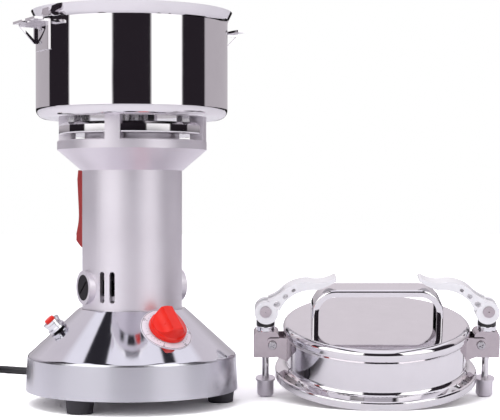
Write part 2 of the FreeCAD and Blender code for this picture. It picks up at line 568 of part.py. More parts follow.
def build_motor():
    lower = ring("LowerBearing", "journal_radius+running_gap", "lower_bearing_radius",
                 "lower_bearing_low", "lower_bearing_height")
    upper = ring("UpperBearing", "upper_shaft_radius+running_gap",
                 "upper_bearing_radius-running_gap", "upper_bearing_low",
                 "upper_bearing_height-running_gap")
    keep("shaft_bearings", grouped("ShaftBearings", [lower, upper]), MILL)
    bridge = turned("BridgeForm", [
        ("lower_bearing_radius+running_gap", "lower_bearing_low-0.6"),
        ("lower_bearing_radius+4", "lower_bearing_low-0.6"),
        ("lower_bearing_radius+4", "bracket_low"),
        ("column_radius-column_wall-fit_gap", "bracket_low"),
        ("column_radius-column_wall-fit_gap", "bracket_low+bracket_height"),
        ("journal_radius+3", "bracket_low+bracket_height"),
        ("journal_radius+3", "lower_bearing_low+lower_bearing_height"),
        ("lower_bearing_radius+running_gap", "lower_bearing_low+lower_bearing_height")])
    air_holes = [cylinder("AirHole", "bracket_height*1.6", "20",
                          facing(azimuth).multiply(at(size["wire_hole_radius"] - 4, 0,
                                                      size["bracket_low"] - 5)))
                 for azimuth in (0, 90, 180, 270)]
    keep("lower_bearing_bracket", cut("Bridge", bridge, air_holes), MILL)

    core = ring("CoreRing", "core_bore", "column_radius-column_wall-fit_gap", "core_low",
                "core_height")
    slots = [brick("CoreSlot", "coil_outer*2", "coil_outer", "core_height+2",
                   facing(azimuth).multiply(at(size["coil_outer"] * 1.0, 0, size["core_low"] - 1)))
             for azimuth in BRUSH_AZIMUTHS]
    slot_ring = ring("SlotRing", "coil_inner-0.2", "coil_outer+0.2", "core_low-1", "core_height+2")
    keep("stator_core", cut("StatorCore", core, [common("CoreSlots", slot_ring,
                                                        joined("SlotBlocks", slots))]), MILL)
    sides = [brick("CoilSide", "coil_outer*2", "coil_outer-0.6", "core_height+coil_overhang",
                   facing(azimuth).multiply(at(size["coil_outer"] * 1.0, 0,
                                               size["core_low"] - size["coil_overhang"] / 2)))
             for azimuth in BRUSH_AZIMUTHS]
    bundle = ring("CoilBundle", "coil_inner", "coil_outer",
                  "core_low-coil_overhang", "core_height+2*coil_overhang")
    legs = common("CoilLegs", bundle, joined("CoilSides", sides))
    ends = [ring("CoilEnd", "coil_inner", "coil_outer", low, "coil_overhang-0.2")
            for low in ("core_low-coil_overhang", "core_low+core_height+0.2")]
    keep("field_coils", joined("FieldCoils", [legs] + ends), MILL)

    shaft = turned("ShaftForm", [
        ("0", "shaft_low"), ("journal_radius", "shaft_low"),
        ("journal_radius", "lower_bearing_low+lower_bearing_height+0.3"),
        ("shaft_radius", "lower_bearing_low+lower_bearing_height+0.3"),
        ("shaft_radius", "upper_bearing_low-4"),
        ("upper_shaft_radius", "upper_bearing_low-4"), ("upper_shaft_radius", "shaft_top"),
        ("0", "shaft_top")])
    keep("motor_shaft", shaft, MILL)
    armature = [ring("Armature", "shaft_radius", "armature_radius", "core_low", "core_height"),
                ring("Commutator", "shaft_radius", "commutator_radius", "commutator_low",
                     "commutator_height")]
    armature += [ring("EndWinding", "shaft_radius", "winding_radius", low, "winding_overhang")
                 for low in ("core_low-winding_overhang", "core_low+core_height")]
    keep("wound_armature", grouped("WoundArmature", armature), MILL)

    hub = ring("FanHub", "shaft_radius", "fan_hub_radius", "fan_low", "fan_vane_height+fan_disc")
    disc = ring("FanDisc", "shaft_radius", "fan_radius", "fan_low", "fan_disc")
    count = int(size["fan_vanes"])
    vanes = [brick("Vane", "fan_radius-fan_hub_radius", "vane_gauge", "fan_vane_height+fan_disc",
                   at(z=size["fan_low"], angle=360 * n / count).multiply(
                       at((size["fan_radius"] + size["fan_hub_radius"]) / 2 - 0.5)))
             for n in range(count)]
    keep("cooling_fan", joined("Fan", [hub, disc] + vanes), MILL)


def build_blades():
    housing_top = "bowl_low+bowl_gauge+seal_housing_height"
    bore = "upper_shaft_radius+running_gap+1.5"
    housing = turned("SealHousing", [
        (bore, "plate_high-4"), ("seal_neck", "plate_high-4"), ("seal_neck", "bowl_low+bowl_gauge"),
        ("seal_housing_radius", "bowl_low+bowl_gauge"), ("seal_housing_radius-2", housing_top),
        ("seal_neck-3", housing_top), ("seal_neck-3", f"{housing_top}-4"), (bore, f"{housing_top}-4")])
    keep("seal_housing", housing, MILL)
    keep("shaft_seal", ring("ShaftSeal", "upper_shaft_radius+running_gap", "seal_neck-3",
                            f"{housing_top}-4", "3.6"), MILL)

    count = int(size["blade_count"])
    reach, waist = "blade_reach", "blade_waist"
    for n, name in zip(range(count), ("lower_blade", "middle_blade", "upper_blade")):
        tip = f"({reach}-{n}*blade_shrink)"
        form = padded("BladeForm", "XY_Plane", [
            (tip, "-blade_waist/2"), (f"{tip}-9", "blade_waist*0.6"), ("0", waist),
            (f"-{tip}", "blade_waist/2"), (f"9-{tip}", "-blade_waist*0.6"), ("0", f"-{waist}")],
            "blade_gauge", {2: "blade_waist*2", 5: "blade_waist*2"}, middle=False)
        hole = cylinder("BladeHole", "upper_shaft_radius", "blade_gauge*3",
                        at(z=-size["blade_gauge"]))
        height = size["blade_low"] + n * size["blade_pitch"]
        keep(name, cut("Blade", form, [hole]),
             MILL.multiply(at(z=height, angle=25 + n * size["blade_turn"])))
    spacers = [ring("BladeSpacer", "upper_shaft_radius", "hub_radius",
                    f"blade_low+{n}*blade_pitch+blade_gauge", "blade_pitch-blade_gauge")
               for n in range(count - 1)]
    low = "blade_low-(blade_low-bowl_low-bowl_gauge-seal_housing_height)+0.4"
    spacers.append(turned("BladeCollar", [("upper_shaft_radius", low), ("hub_radius", low),
                                          ("hub_radius", "blade_low"),
                                          ("upper_shaft_radius", "blade_low")]))
    keep("blade_spacers", grouped("BladeSpacers", spacers), MILL)
    top = size["blade_low"] + (count - 1) * size["blade_pitch"] + size["blade_gauge"]
    nut = doc.addObject("Part::Prism", "BladeNutHex")
    nut.Polygon = 6
    nut.setExpression("Circumradius", bound("nut_across/1.732"))
    nut.setExpression("Height", bound("nut_height"))
    placed(nut, at(z=top))
    hole = cylinder("BladeNutHole", "upper_shaft_radius", "nut_height*3", at(z=top - 5))
    keep("blade_nut", cut("BladeNut", nut, [hole]), MILL)


def build_handle():
    form = padded("GripForm", "XZ_Plane", [
        ("column_radius-6", "grip_low"), ("grip_reach-7", "grip_low"),
        ("grip_bulge", "grip_bulge_height-3"), ("grip_bulge-0.3", "grip_bulge_height+3"),
        ("grip_waist", "grip_waist_height"), ("grip_reach", "grip_high-8"),
        ("grip_reach-1.5", "grip_high"), ("column_radius-6", "grip_high-2.4")], "grip_width",
        {1: "grip_round*1.6", 4: "grip_round*6", 5: "grip_round"})
    window = padded("GripWindow", "XZ_Plane", [
        ("grip_back", "grip_hole_low"), ("grip_inner+1", "grip_hole_low"),
        ("grip_inner-1", "grip_waist_height"), ("grip_inner+1", "grip_hole_high"),
        ("grip_back", "grip_hole_high")], "grip_width*2",
        {0: "grip_round", 1: "grip_round*0.9", 3: "grip_round*0.9", 4: "grip_round"})
    column = cylinder("ColumnClear", "column_radius+fit_gap", "column_top+0.6")
    screws, holes = [], []
    for height in (size["grip_hole_low"] + size["handle_screw_inset"],
                   size["grip_hole_high"] - size["handle_screw_inset"]):
        spot = at(size["grip_back"], 0, height, BACK, 90)
        screws.append(pan_screw("GripScrew", spot, "grip_back-column_radius+1"))
        holes.append(cylinder("GripHole", "screw_radius+fit_gap", "20", spot.multiply(at(z=-12))))
    place = MILL.multiply(facing(HANDLE_AZIMUTH))
    flare = turned("FlareClear", [("0", "column_top-1"), ("column_radius+fit_gap", "column_top-1"),
                                  ("flare_radius+0.6", "column_top-0.5"),
                                  ("rim_radius+0.6", "rim_low-0.5"), ("0", "rim_low")])
    keep("carry_handle", cut("Grip", form, [window, column, flare] + holes), place)
    keep("handle_screws", grouped("GripScrews", screws), place)


def build_timer():
    place = MILL.multiply(on_cone(TIMER_AZIMUTH, size["dial_circle"]))
    case = cylinder("TimerCase", "timer_radius", "timer_length",
                    at(z=-size["timer_depth"] - size["timer_length"]))
    neck = cylinder("TimerNeck", "timer_neck_radius", "timer_depth+timer_nut_height+1",
                    at(z=-size["timer_depth"]))
    bore = cylinder("TimerBore", "spindle_radius+running_gap", "timer_depth+20",
                    at(z=-size["timer_depth"] - 8))
    keep("timer_spindle", cylinder("Spindle", "spindle_radius",
                                   "timer_depth+knob_height",
                                   at(z=-size["timer_depth"] - 3)), place)
    nut = doc.addObject("Part::Prism", "TimerNutHex")
    nut.Polygon = 6
    nut.setExpression("Circumradius", bound("timer_nut_across/1.732"))
    nut.setExpression("Height", bound("timer_nut_height"))
    placed(nut, at(z=size["dial_gauge"] + size["fit_gap"]))
    keep("timer_body", cut("Timer", joined("TimerJoined", [case, neck, nut]), [bore]), place)

    slope = cone_rise / cone_run
    low_radius, high_radius = "dial_circle+24", "dial_circle-24"
    drop = f"{slope:.6f}"

    def cone_height(radius, lift):
        return (f"shoulder_height+(shoulder_radius-({radius}))"
                f"*(cone_top_height-shoulder_height)/(shoulder_radius-cone_top_radius)+{lift}")

    dial_lift = f"dial_gauge*{1 / math.cos(math.radians(cone_lean)):.6f}"
    skin = turned("DialSkin", [(low_radius, cone_height(low_radius, "0.02")),
                               (low_radius, cone_height(low_radius, dial_lift)),
                               (high_radius, cone_height(high_radius, dial_lift)),
                               (high_radius, cone_height(high_radius, "0.02"))])
    on_axis = on_cone(TIMER_AZIMUTH, size["dial_circle"])
    post_disc = cylinder("DialDisc", "dial_radius", "20", on_axis.multiply(at(z=-10)))
    hole = cylinder("DialHole", "timer_neck_radius+fit_gap", "20", on_axis.multiply(at(z=-10)))
    keep("timer_dial", cut("Dial", common("DialPatch", skin, post_disc), [hole]), MILL)

    low = "dial_gauge+knob_lift"
    form = turned("KnobForm", [
        ("timer_nut_across*0.7", low), ("knob_radius", low), ("knob_radius-0.4", f"{low}+knob_skirt"),
        ("knob_top_radius+0.8", f"{low}+knob_skirt+0.8"), ("knob_top_radius", "knob_height"),
        ("spindle_radius", "knob_height"), ("spindle_radius", f"{low}+timer_nut_height+1.4"),
        ("timer_nut_across*0.7", f"{low}+timer_nut_height+1.4")], {4: "knob_lift*3"})
    crown = cylinder("KnobCrown", "spindle_radius+1", "2", at(z=size["knob_height"] - 2))
    scoops = []
    for sign in (-1, 1):
        reach = size["scoop_radius"] + size["ridge_width"] / 2
        middle = size["knob_height"] + size["scoop_radius"] - 9.5
        scoops.append(cylinder("Scoop", "scoop_radius", "knob_radius*3",
                               at(-1.5 * size["knob_radius"], sign * reach, middle, BACK, 90)))
        scoops.append(brick("ScoopSide", "knob_radius*3", "scoop_radius", "scoop_radius*2",
                            at(0, sign * (reach + size["scoop_radius"] * 0.35), middle)))
    bore = cylinder("KnobBore", "spindle_radius", "knob_height-3", at())
    keep("timer_knob", cut("Knob", joined("KnobJoined", [form, crown]), scoops + [bore]), place)


def build_breaker():
    place = MILL.multiply(on_cone(BREAKER_AZIMUTH, size["breaker_circle"]))
    body = turned("BreakerForm", [
        ("0", "-timer_depth-breaker_length"), ("breaker_radius", "-timer_depth-breaker_length"),
        ("breaker_radius", "-timer_depth"), ("neck_radius", "-timer_depth"),
        ("neck_radius", "collar_height-0.6"), ("button_radius+running_gap", "collar_height-0.6"),
        ("button_radius+running_gap", "-timer_depth-4"), ("0", "-timer_depth-4")])
    keep("overload_switch", body, place)
    nut = turned("BreakerNut", [
        ("neck_radius", "1.2"), ("collar_radius", "1.2"), ("collar_radius", "3.4"),
        ("collar_radius-0.9", "3.8"), ("collar_radius-0.9", "7.4"), ("collar_radius-0.2", "7.8"),
        ("collar_radius-0.2", "collar_height"), ("button_radius+0.5", "collar_height"),
        ("button_radius+0.5", "collar_height-0.6"), ("neck_radius", "collar_height-0.6")])
    keep("overload_collar", nut, place)
    button = turned("ButtonForm", [
        ("0", "-timer_depth+1"), ("button_radius", "-timer_depth+1"),
        ("button_radius", "collar_height+button_proud"), ("0", "collar_height+button_proud")],
        {2: "running_gap*16"})
    keep("overload_button", button, place)


def build_lid():
    form = turned("LidForm", [
        ("0", "0"), ("lid_bead_radius", "0"), ("lid_bead_radius", "-lid_bead_depth"),
        ("lid_wall_radius", "-lid_bead_depth-3"), ("lid_wall_radius", "-lid_wall_depth"),
        ("flange_radius", "-flange_top"), ("flange_radius", "-flange_depth"),
        ("0", "-flange_depth")], {1: "block_round", 2: "lid_gauge*2", 3: "lid_gauge*2",
                                  4: "block_round", 5: "lid_gauge*2"})
    keep("lid_shell", hollowed(form, -size["flange_depth"], "lid_gauge"), LID)

    seal_outer, seal_inner = "flange_radius-lid_gauge-0.3", "lid_wall_radius+1.5"
    rise = "(flange_top-lid_wall_depth)/(flange_radius-lid_wall_radius)"
    seal_top = f"-flange_top-lid_gauge*1.4-0.2+(flange_radius-({seal_inner}))*{rise}"
    seal = turned("LidSeal", [
        (seal_inner, f"{seal_top}-seal_gauge"), (seal_outer, "-flange_top-lid_gauge*1.4-seal_gauge"),
        (seal_outer, "-flange_top-lid_gauge*1.4-0.6"), (seal_inner, seal_top)])
    keep("lid_seal", seal, LID)

    half, high = "lid_grip_length/2", "lid_grip_height"
    strap = padded("StrapForm", "XZ_Plane", [
        (f"-{half}", "0"), (f"-{half}", high), (half, high), (half, "0"),
        (f"{half}-lid_grip_roll", "0"), (f"{half}-lid_grip_roll", f"{high}-lid_grip_roll"),
        (f"lid_grip_roll-{half}", f"{high}-lid_grip_roll"), (f"lid_grip_roll-{half}", "0")],
        "lid_grip_width", {1: "lid_grip_corner", 2: "lid_grip_corner",
                           5: "lid_grip_corner-lid_grip_roll", 6: "lid_grip_corner-lid_grip_roll"})
    doc.recompute()
    tip = strap.Tip
    side = size["lid_grip_width"] / 2
    outer = size["lid_grip_length"] / 2
    rim_edges = []
    for n, edge in enumerate(tip.Shape.Edges, 1):
        middle = edge.valueAt((edge.FirstParameter + edge.LastParameter) / 2)
        on_face = all(abs(abs(v.Y) - side) < 1e-4 for v in edge.Vertexes)
        corner_reach = math.hypot(abs(middle.x) - outer + size["lid_grip_corner"],
                                  middle.z - size["lid_grip_height"] + size["lid_grip_corner"])
        outside = (abs(abs(middle.x) - outer) < 1e-3 or abs(middle.z - size["lid_grip_height"]) < 1e-3
                   or abs(corner_reach - size["lid_grip_corner"]) < 1e-3)
        if on_face and outside and middle.z > 1e-3:
            rim_edges.append(f"Edge{n}")
    roll = strap.newObject("PartDesign::Fillet", "Roll")
    roll.Base = (tip, rim_edges)
    roll.setExpression("Radius", bound("lid_grip_roll*0.45"))
    inner = f"{half}-lid_grip_gauge"
    top = f"{high}-lid_grip_gauge"
    channel = padded("StrapChannel", "XZ_Plane", [
        (f"lid_grip_gauge-{half}", "-1"), (f"lid_grip_gauge-{half}", top), (inner, top),
        (inner, "-1")], "lid_grip_width-2*lid_grip_gauge",
        {1: "lid_grip_corner-lid_grip_gauge", 2: "lid_grip_corner-lid_grip_gauge"})
    keep("lid_handle", cut("Strap", strap, [channel]), LID)


def rounded_block(name, inner, outer, top, low, width):
    return padded(name, "XZ_Plane", [(inner, low), (outer, low), (outer, top), (inner, top)], width,
                  {1: "block_round", 2: "block_round", 3: "block_round"})


def lever_arm():
    """The arm's side outline: arcs through every second point, closed through the cam."""
    def spot(point):
        return Vector(point[0], -size["lever_width"] / 2, point[1])

    edges = []
    for row in (LEVER_TOP, (LEVER_TOP[-1], LEVER_TIP, LEVER_FOOT[0]), LEVER_FOOT):
        for first, middle, last in zip(row[0::2], row[1::2], row[2::2]):
            edges.append(Part.Arc(spot(first), spot(middle), spot(last)).toShape())
    edges.append(Part.LineSegment(spot(LEVER_FOOT[-1]), spot(LEVER_TOP[0])).toShape())
    face = Part.Face(Part.Wire(edges))
    return face.extrude(Vector(0, size["lever_width"], 0))


def mirrored(name, source):
    """The mirror image of a placed object across the middle of the lid."""
    twin = doc.addObject("Part::Mirroring", name)
    twin.Source = source
    twin.Base = Vector(mill_x + size["lid_side"], 0, 0)
    twin.Normal = RIGHT
    return twin


def build_clamp():
    """The left clamp, and its mirror image across the lid."""
    cam_angle = math.radians(size["cam_angle"])
    saddle_floor = size["washer_height"] - size["block_top"]
    pin_height = (saddle_floor + size["saddle_height"] + size["cam_gap"] + size["cam_radius"]
                  + size["cam_throw"] * math.sin(cam_angle))
    cam_side = -size["rod_side"] + size["cam_throw"] * math.cos(cam_angle)
    cam_height = pin_height - size["cam_throw"] * math.sin(cam_angle)
    rod_x = -size["rod_side"]

    # Clevis: two ears on a saddle plate that is welded to the lid's wall.
    plate_ring = ring("ClevisRing", "lid_wall_radius+fit_gap/2", "lid_wall_radius+clevis_gauge",
                      "-clevis_low", "clevis_low-clevis_top")
    plate_slab = brick("ClevisSlab", "lid_wall_radius", "block_width+2*clevis_gauge+2*clevis_gap",
                       "lid_wall_depth*2", at(-size["lid_wall_radius"], 0, -size["lid_wall_depth"] * 2))
    ears, ear_clear = [], cylinder("WallClear", "lid_wall_radius+fit_gap/2", "lid_wall_depth*2",
                                   at(z=-size["lid_wall_depth"] * 2))
    for sign in (-1, 1):
        ear = padded("Ear", "XZ_Plane", [
            ("-lid_wall_radius+2", "-clevis_low"), ("-lid_wall_radius+2", "-clevis_top"),
            ("-clevis_reach", "-clevis_top"), ("-clevis_reach", "-block_low+4")],
            "clevis_gauge", {2: "block_round*0.6", 3: "block_round*0.6"})
        offset = size["block_width"] / 2 + size["clevis_gap"] + size["clevis_gauge"] / 2
        ears.append(placed(ear, at(0, sign * offset)))
    pivot = at(-size["pivot_side"], -20, -size["pivot_depth"], RIGHT, -90)
    pivot_hole = cylinder("PivotHole", "pivot_radius", "40", pivot)
    clevis = cut("Clevis", joined("ClevisJoined", [common("ClevisPlate", plate_ring, plate_slab)]
                                  + ears), [ear_clear, pivot_hole])
    clevis.Placement = LID

    ear_face = size["block_width"] / 2 + size["clevis_gap"] + size["clevis_gauge"]
    screw = pan_screw("PivotScrew", at(-size["pivot_side"], -ear_face, -size["pivot_depth"], RIGHT, 90),
                      "block_width+2*clevis_gap+2*clevis_gauge+1", "pivot_radius",
                      "screw_head_radius", "screw_head_height")
    screw.Placement = LID.multiply(screw.Placement)

    block = rounded_block("BlockForm", "-block_outer", "-block_inner", "-block_top", "-block_low",
                          "block_width")
    tools = [cylinder("BlockPivot", "pivot_radius+running_gap", "40", pivot),
             cylinder("BlockBore", "rod_radius+running_gap", "80", at(rod_x, 0, -60))]
    keep("clamp_block_left", cut("Block", block, tools), LID)
    washer = turned("WasherForm", [
        ("rod_radius+running_gap*2", "0"), ("washer_radius", "0"), ("washer_radius", "washer_height"),
        ("rod_radius+running_gap*2", "washer_height")], {2: "clevis_gap*3"})
    washer.Placement = at(rod_x, 0, -size["block_top"])
    saddle = turned("SaddleForm", [
        ("rod_radius+running_gap*2", "0"), ("washer_radius", "0"), ("washer_radius", "saddle_height*3"),
        ("rod_radius+running_gap*2", "saddle_height*3")])
    groove = cylinder("SaddleGroove", "saddle_radius", "40",
                      at(0, -20, size["saddle_height"] + size["saddle_radius"], RIGHT, -90))
    saddle = placed(cut("Saddle", saddle, [groove]), at(rod_x, 0, saddle_floor))
    keep("clamp_washers_left", grouped("ClampWashers", [washer, saddle]), LID)

    rod = cylinder("RodShank", "rod_radius", f"{pin_height:.4f}+thumb_nut_top+8",
                   at(rod_x, 0, -size["thumb_nut_top"] - 8))
    eye = cylinder("RodEye", "eye_radius", "2*fork_gap-0.6",
                   at(rod_x, size["fork_gap"] - 0.3, pin_height, RIGHT, 90))
    eye_hole = cylinder("EyeHole", "pin_radius", "40", at(rod_x, -20, pin_height, RIGHT, -90))
    keep("clamp_rod_left", cut("Rod", joined("RodJoined", [rod, eye]), [eye_hole]), LID)
    pin = turned("PinForm", [
        ("0", "-lever_width/2-1.8"), ("pin_head_radius", "-lever_width/2-1.2"),
        ("pin_head_radius", "-lever_width/2-0.15"), ("pin_radius", "-lever_width/2-0.15"),
        ("pin_radius", "lever_width/2+0.15"), ("pin_head_radius", "lever_width/2+0.15"),
        ("pin_head_radius", "lever_width/2+1.2"), ("0", "lever_width/2+1.8")])
    keep("cam_pin_left", pin, LID.multiply(at(rod_x, 0, pin_height, RIGHT, 90)))

    cam = cylinder("CamDisc", "cam_radius", "lever_width",
                   at(cam_side, -size["lever_width"] / 2, cam_height, RIGHT, -90))
    arm = shaped("LeverArm", lever_arm())
    cuts = [cylinder("CamPinHole", "pin_radius+running_gap", "40",
                     at(rod_x, -20, pin_height, RIGHT, -90)),
            brick("ForkGap", "2*cam_radius+20", "2*fork_gap", "60",
                  at(rod_x - 10 + size["eye_radius"] + 1.5, 0, cam_height - 40)),
            brick("ForkTop", "cam_radius+20", "2*fork_gap", "60",
                  at(rod_x - (size["cam_radius"] + 20) / 2 + size["rod_radius"] + 1.2, 0,
                     cam_height - 20))]
    for side, height, length, width in LEVER_HOLES:
        slot = cylinder("LeverHole", f"{width / 2}", "40", at(side, -20, height, RIGHT, -90))
        spread = (length - width) / 2
        twin = cylinder("LeverHoleEnd", f"{width / 2}", "40",
                        at(side + 0.8 * spread, -20, height + 0.6 * spread, RIGHT, -90))
        cuts += [slot, twin]
    keep("cam_lever_left", cut("Lever", joined("LeverJoined", [cam, arm]), cuts), LID)

    # The nut's lower edge just clears the floor under the leaning lid.
    soft, bore = size["thumb_nut_round"], "rod_radius+running_gap"
    edge_reach = (size["thumb_nut_radius"] - soft) * math.sin(tilt)
    nut_low = (size["floor_gap"] + soft + edge_reach - lid_height) / math.cos(tilt) - soft
    nut = turned("ThumbNut", [
        (bore, f"{nut_low:.4f}"), ("thumb_nut_radius", f"{nut_low:.4f}"),
        ("thumb_nut_radius", "-thumb_nut_top-1.5"), ("thumb_nut_flange", "-thumb_nut_top-1.5"),
        ("thumb_nut_flange", "-thumb_nut_top"), (bore, "-thumb_nut_top")],
        {1: "thumb_nut_round"})
    keep("thumb_nut_left", nut, LID.multiply(at(rod_x)))

    for name in ("clamp_block", "clamp_washers", "clamp_rod", "cam_pin", "cam_lever", "thumb_nut"):
        keep(name + "_right", mirrored(name + "_twin", pieces[name + "_left"]))
    keep("clamp_clevises", grouped("Clevises", [clevis, mirrored("ClevisTwin", clevis)]))
    keep("pivot_screws", grouped("PivotScrews", [screw, mirrored("ScrewTwin", screw)]))
    return pin_height, cam_side, cam_height


def rounded_path(points):
    """Straight runs joined by tangent arcs, each as large as its two runs allow."""
    edges, start = [], points[0]
    for before, corner, after in zip(points, points[1:], points[2:]):
        come, go = (corner - before), (after - corner)
        turn = come.getAngle(go)
        reach = 0.45 * min(come.Length, go.Length)
        radius = reach / math.tan(turn / 2)
        print(f"cord bend of {math.degrees(turn):.0f} degrees, radius {radius:.0f} mm")
        come.normalize()
        go.normalize()
        first, last = corner - come * reach, corner + go * reach
        inward = (go - come).normalize()
        middle = corner + inward * (radius / math.cos(turn / 2) - radius)
        edges.append(Part.LineSegment(start, first).toShape())
        edges.append(Part.Arc(first, middle, last).toShape())
        start = last
    edges.append(Part.LineSegment(start, points[-1]).toShape())
    return Part.Wire(edges)


def arc_from(start, heading, end):
    """The arc that leaves a point along a heading and reaches another point."""
    chord = end - start
    along = Vector(chord).normalize()
    turn = heading.getAngle(along)
    outwards = (heading - along * heading.dot(along)).normalize()
    middle = start + chord * 0.5 + outwards * (chord.Length / 2 * math.tan(turn / 2))
    return Part.Arc(start, middle, end).toShape()


def biarc(start, go, end, come):
    """Two tangent arcs from one point and heading to another."""
    chord, both = end - start, go + come
    square = 2 * (1 - go.dot(come))
    reach = (-chord.dot(both) + math.sqrt(chord.dot(both) ** 2 + square * chord.dot(chord))) / square
    middle = (start + go * reach + end - come * reach) * 0.5
    into = (end - come * reach - start - go * reach).normalize()
    return [arc_from(start, go, middle), arc_from(middle, into, end)]


def tube(path, radius):
    start = path.Edges[0]
    direction = start.tangentAt(start.FirstParameter)
    circle = Part.Wire(Part.Circle(path.Edges[0].Vertexes[0].Point, direction, radius).toShape())
    return path.makePipeShell([circle], True, False)


def build_cord():
    half = size["cord_diameter"] / 2
    points = [MILL.multVec(Vector(*point)) for point in CORD_ROUTE]
    # The put-away length: in to the middle, up a layer over half a turn, and out again.
    heading = (points[-1] - points[-2]).normalize()
    entry = points[-1] + heading * size["coil_run_in"]
    outer, pitch, turns = size["coil_outer_radius"], size["coil_pitch"], size["coil_turns"]
    inward = Vector(-heading.y, heading.x, 0)
    centre = entry + inward * outer
    first = math.atan2(-inward.y, -inward.x)
    whole = 2 * turns + 0.5

    def coil_point(turn):
        radius = outer - pitch * min(turn, whole - turn)
        climb = min(max(turn - turns, 0), 0.5)
        height = pitch * (1 - math.cos(2 * math.pi * climb)) / 2
        angle = first + 2 * math.pi * turn
        return centre + Vector(radius * math.cos(angle), radius * math.sin(angle), height)

    def coil_heading(turn):
        return (coil_point(turn + 0.001) - coil_point(turn - 0.001)).normalize()

    quarters = math.ceil(whole * 4)
    stops = [whole * n / quarters for n in range(quarters + 1)]
    headings = [heading] + [coil_heading(turn) for turn in stops[1:]]
    headings[-1].z = 0
    knots = [coil_point(turn) for turn in stops]
    straight = size["cord_diameter"]
    coil_start = knots[0] - heading * straight
    plug_spot = knots[-1] + headings[-1] * size["plug_run"]
    edges = [Part.LineSegment(coil_start, knots[0]).toShape()]
    for start, go, end, come in zip(knots, headings, knots[1:], headings[1:]):
        edges += biarc(start, go, end, come)
    edges.append(Part.LineSegment(knots[-1], plug_spot).toShape())
    winding = Part.Wire(edges)
    samples = winding.discretize(Number=1200)
    step = winding.Length / 1199
    apart = int(4 * size["cord_diameter"] / step)
    gap = min((samples[a] - samples[b]).Length for a in range(0, 1200, 3)
              for b in range(a + apart, 1200, 3)) - size["cord_diameter"]
    print(f"cord coil {winding.Length:.0f} mm, least gap to itself {gap:.2f} mm")
    keep("cord_coil", shaped("CordCoil", tube(winding, half)))

    points[-1] = coil_start
    path = rounded_path(points)
    stretch = tube(path, half)
    expected = math.pi * half ** 2 * path.Length
    print(f"cord stretch {path.Length:.0f} mm, volume {stretch.Volume / expected:.4f} of its tube")
    keep("cord_stretch", shaped("CordStretch", stretch))

    relief = turned("ReliefForm", [
        ("0", "skirt_radius-6"), ("relief_root+2", "skirt_radius-6"),
        ("relief_root+2", "skirt_radius-3"), ("relief_root", "skirt_radius-3"),
        ("relief_root", "skirt_radius"), ("relief_root+2", "skirt_radius"),
        ("relief_root+1.4", "skirt_radius+2"), ("relief_root-0.6", "skirt_radius+3"),
        ("cord_diameter/2+1", "relief_reach"), ("0", "relief_reach")])
    keep("strain_relief", relief, MILL.multiply(radial(CORD_AZIMUTH, 0, size["relief_height"])))

    bearing = math.degrees(math.atan2(headings[-1].y, headings[-1].x))
    place = at(plug_spot.x, plug_spot.y, plug_spot.z, UP, bearing)
    plug = padded("PlugForm", "XY_Plane", [
        ("0", "-cord_diameter/2-1.5"), ("plug_boot", "-cord_diameter/2-3"),
        ("plug_boot+6", "-plug_width/2"), ("plug_boot+plug_length", "-plug_width/2"),
        ("plug_boot+plug_length", "plug_width/2"), ("plug_boot+6", "plug_width/2"),
        ("plug_boot", "cord_diameter/2+3"), ("0", "cord_diameter/2+1.5")],
        "cord_diameter+2*coil_pitch", {2: "4", 3: "3", 4: "3", 5: "4"})
    slope = padded("PlugSide", "XZ_Plane", [
        ("0", "-cord_diameter/2-1.5"), ("plug_boot", "-cord_diameter/2-3"),
        ("plug_boot+8", "-cord_diameter/2-coil_pitch"),
        ("plug_boot+plug_length", "-cord_diameter/2-coil_pitch"),
        ("plug_boot+plug_length", "cord_diameter/2+coil_pitch"),
        ("plug_boot+8", "cord_diameter/2+coil_pitch"),
        ("plug_boot", "cord_diameter/2+3"), ("0", "cord_diameter/2+1.5")], "plug_width*2")
    keep("plug_body", common("Plug", plug, slope), place)
    face = size["plug_boot"] + size["plug_length"]
    blades = [brick("PlugBlade", "blade_pin_gauge", "blade_pin_width", "pin_length",
                    at(face, sign * size["blade_pin_side"], size["blade_pin_lift"], BACK, 90))
              for sign in (-1, 1)]
    ground = cylinder("GroundPin", "ground_pin_radius", "pin_length+3",
                      at(face, 0, -size["ground_pin_drop"], BACK, 90))
    keep("plug_pins", grouped("PlugPins", blades + [ground]), place)


def main():
    build_base()
    build_column()
    build_top()
    build_bowl()
    build_motor()
    build_blades()
    build_handle()
    build_timer()
    build_breaker()
    build_lid()
    pin_height, cam_side, cam_height = build_clamp()
    build_cord()
    print(f"mill axis at {mill_x:.3f}, {mill_y:.3f}; lid top at {LID.Base}")
    print(f"cam pin height {pin_height:.3f}, cam centre {cam_side:.3f}, {cam_height:.3f}")
    doc.recompute()
    failed = [o.Name for o in doc.Objects if {"Invalid", "Error"} & set(o.State)]
    for name, piece in pieces.items():
        if piece.Shape.isNull() or not piece.Shape.isValid() or not piece.Shape.Solids:
            failed.append(name)
    if failed:
        raise RuntimeError("these failed: " + ", ".join(failed))
    os.makedirs("parts", exist_ok=True)
    for name, piece in pieces.items():
        piece.Shape.exportStep(f"parts/{name}.step")
        print(f"{name}: {len(piece.Shape.Solids)} solids, {piece.Shape.Volume / 1000:.2f} cm3")


main()
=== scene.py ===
import math

import bpy
from mathutils import Matrix, Vector


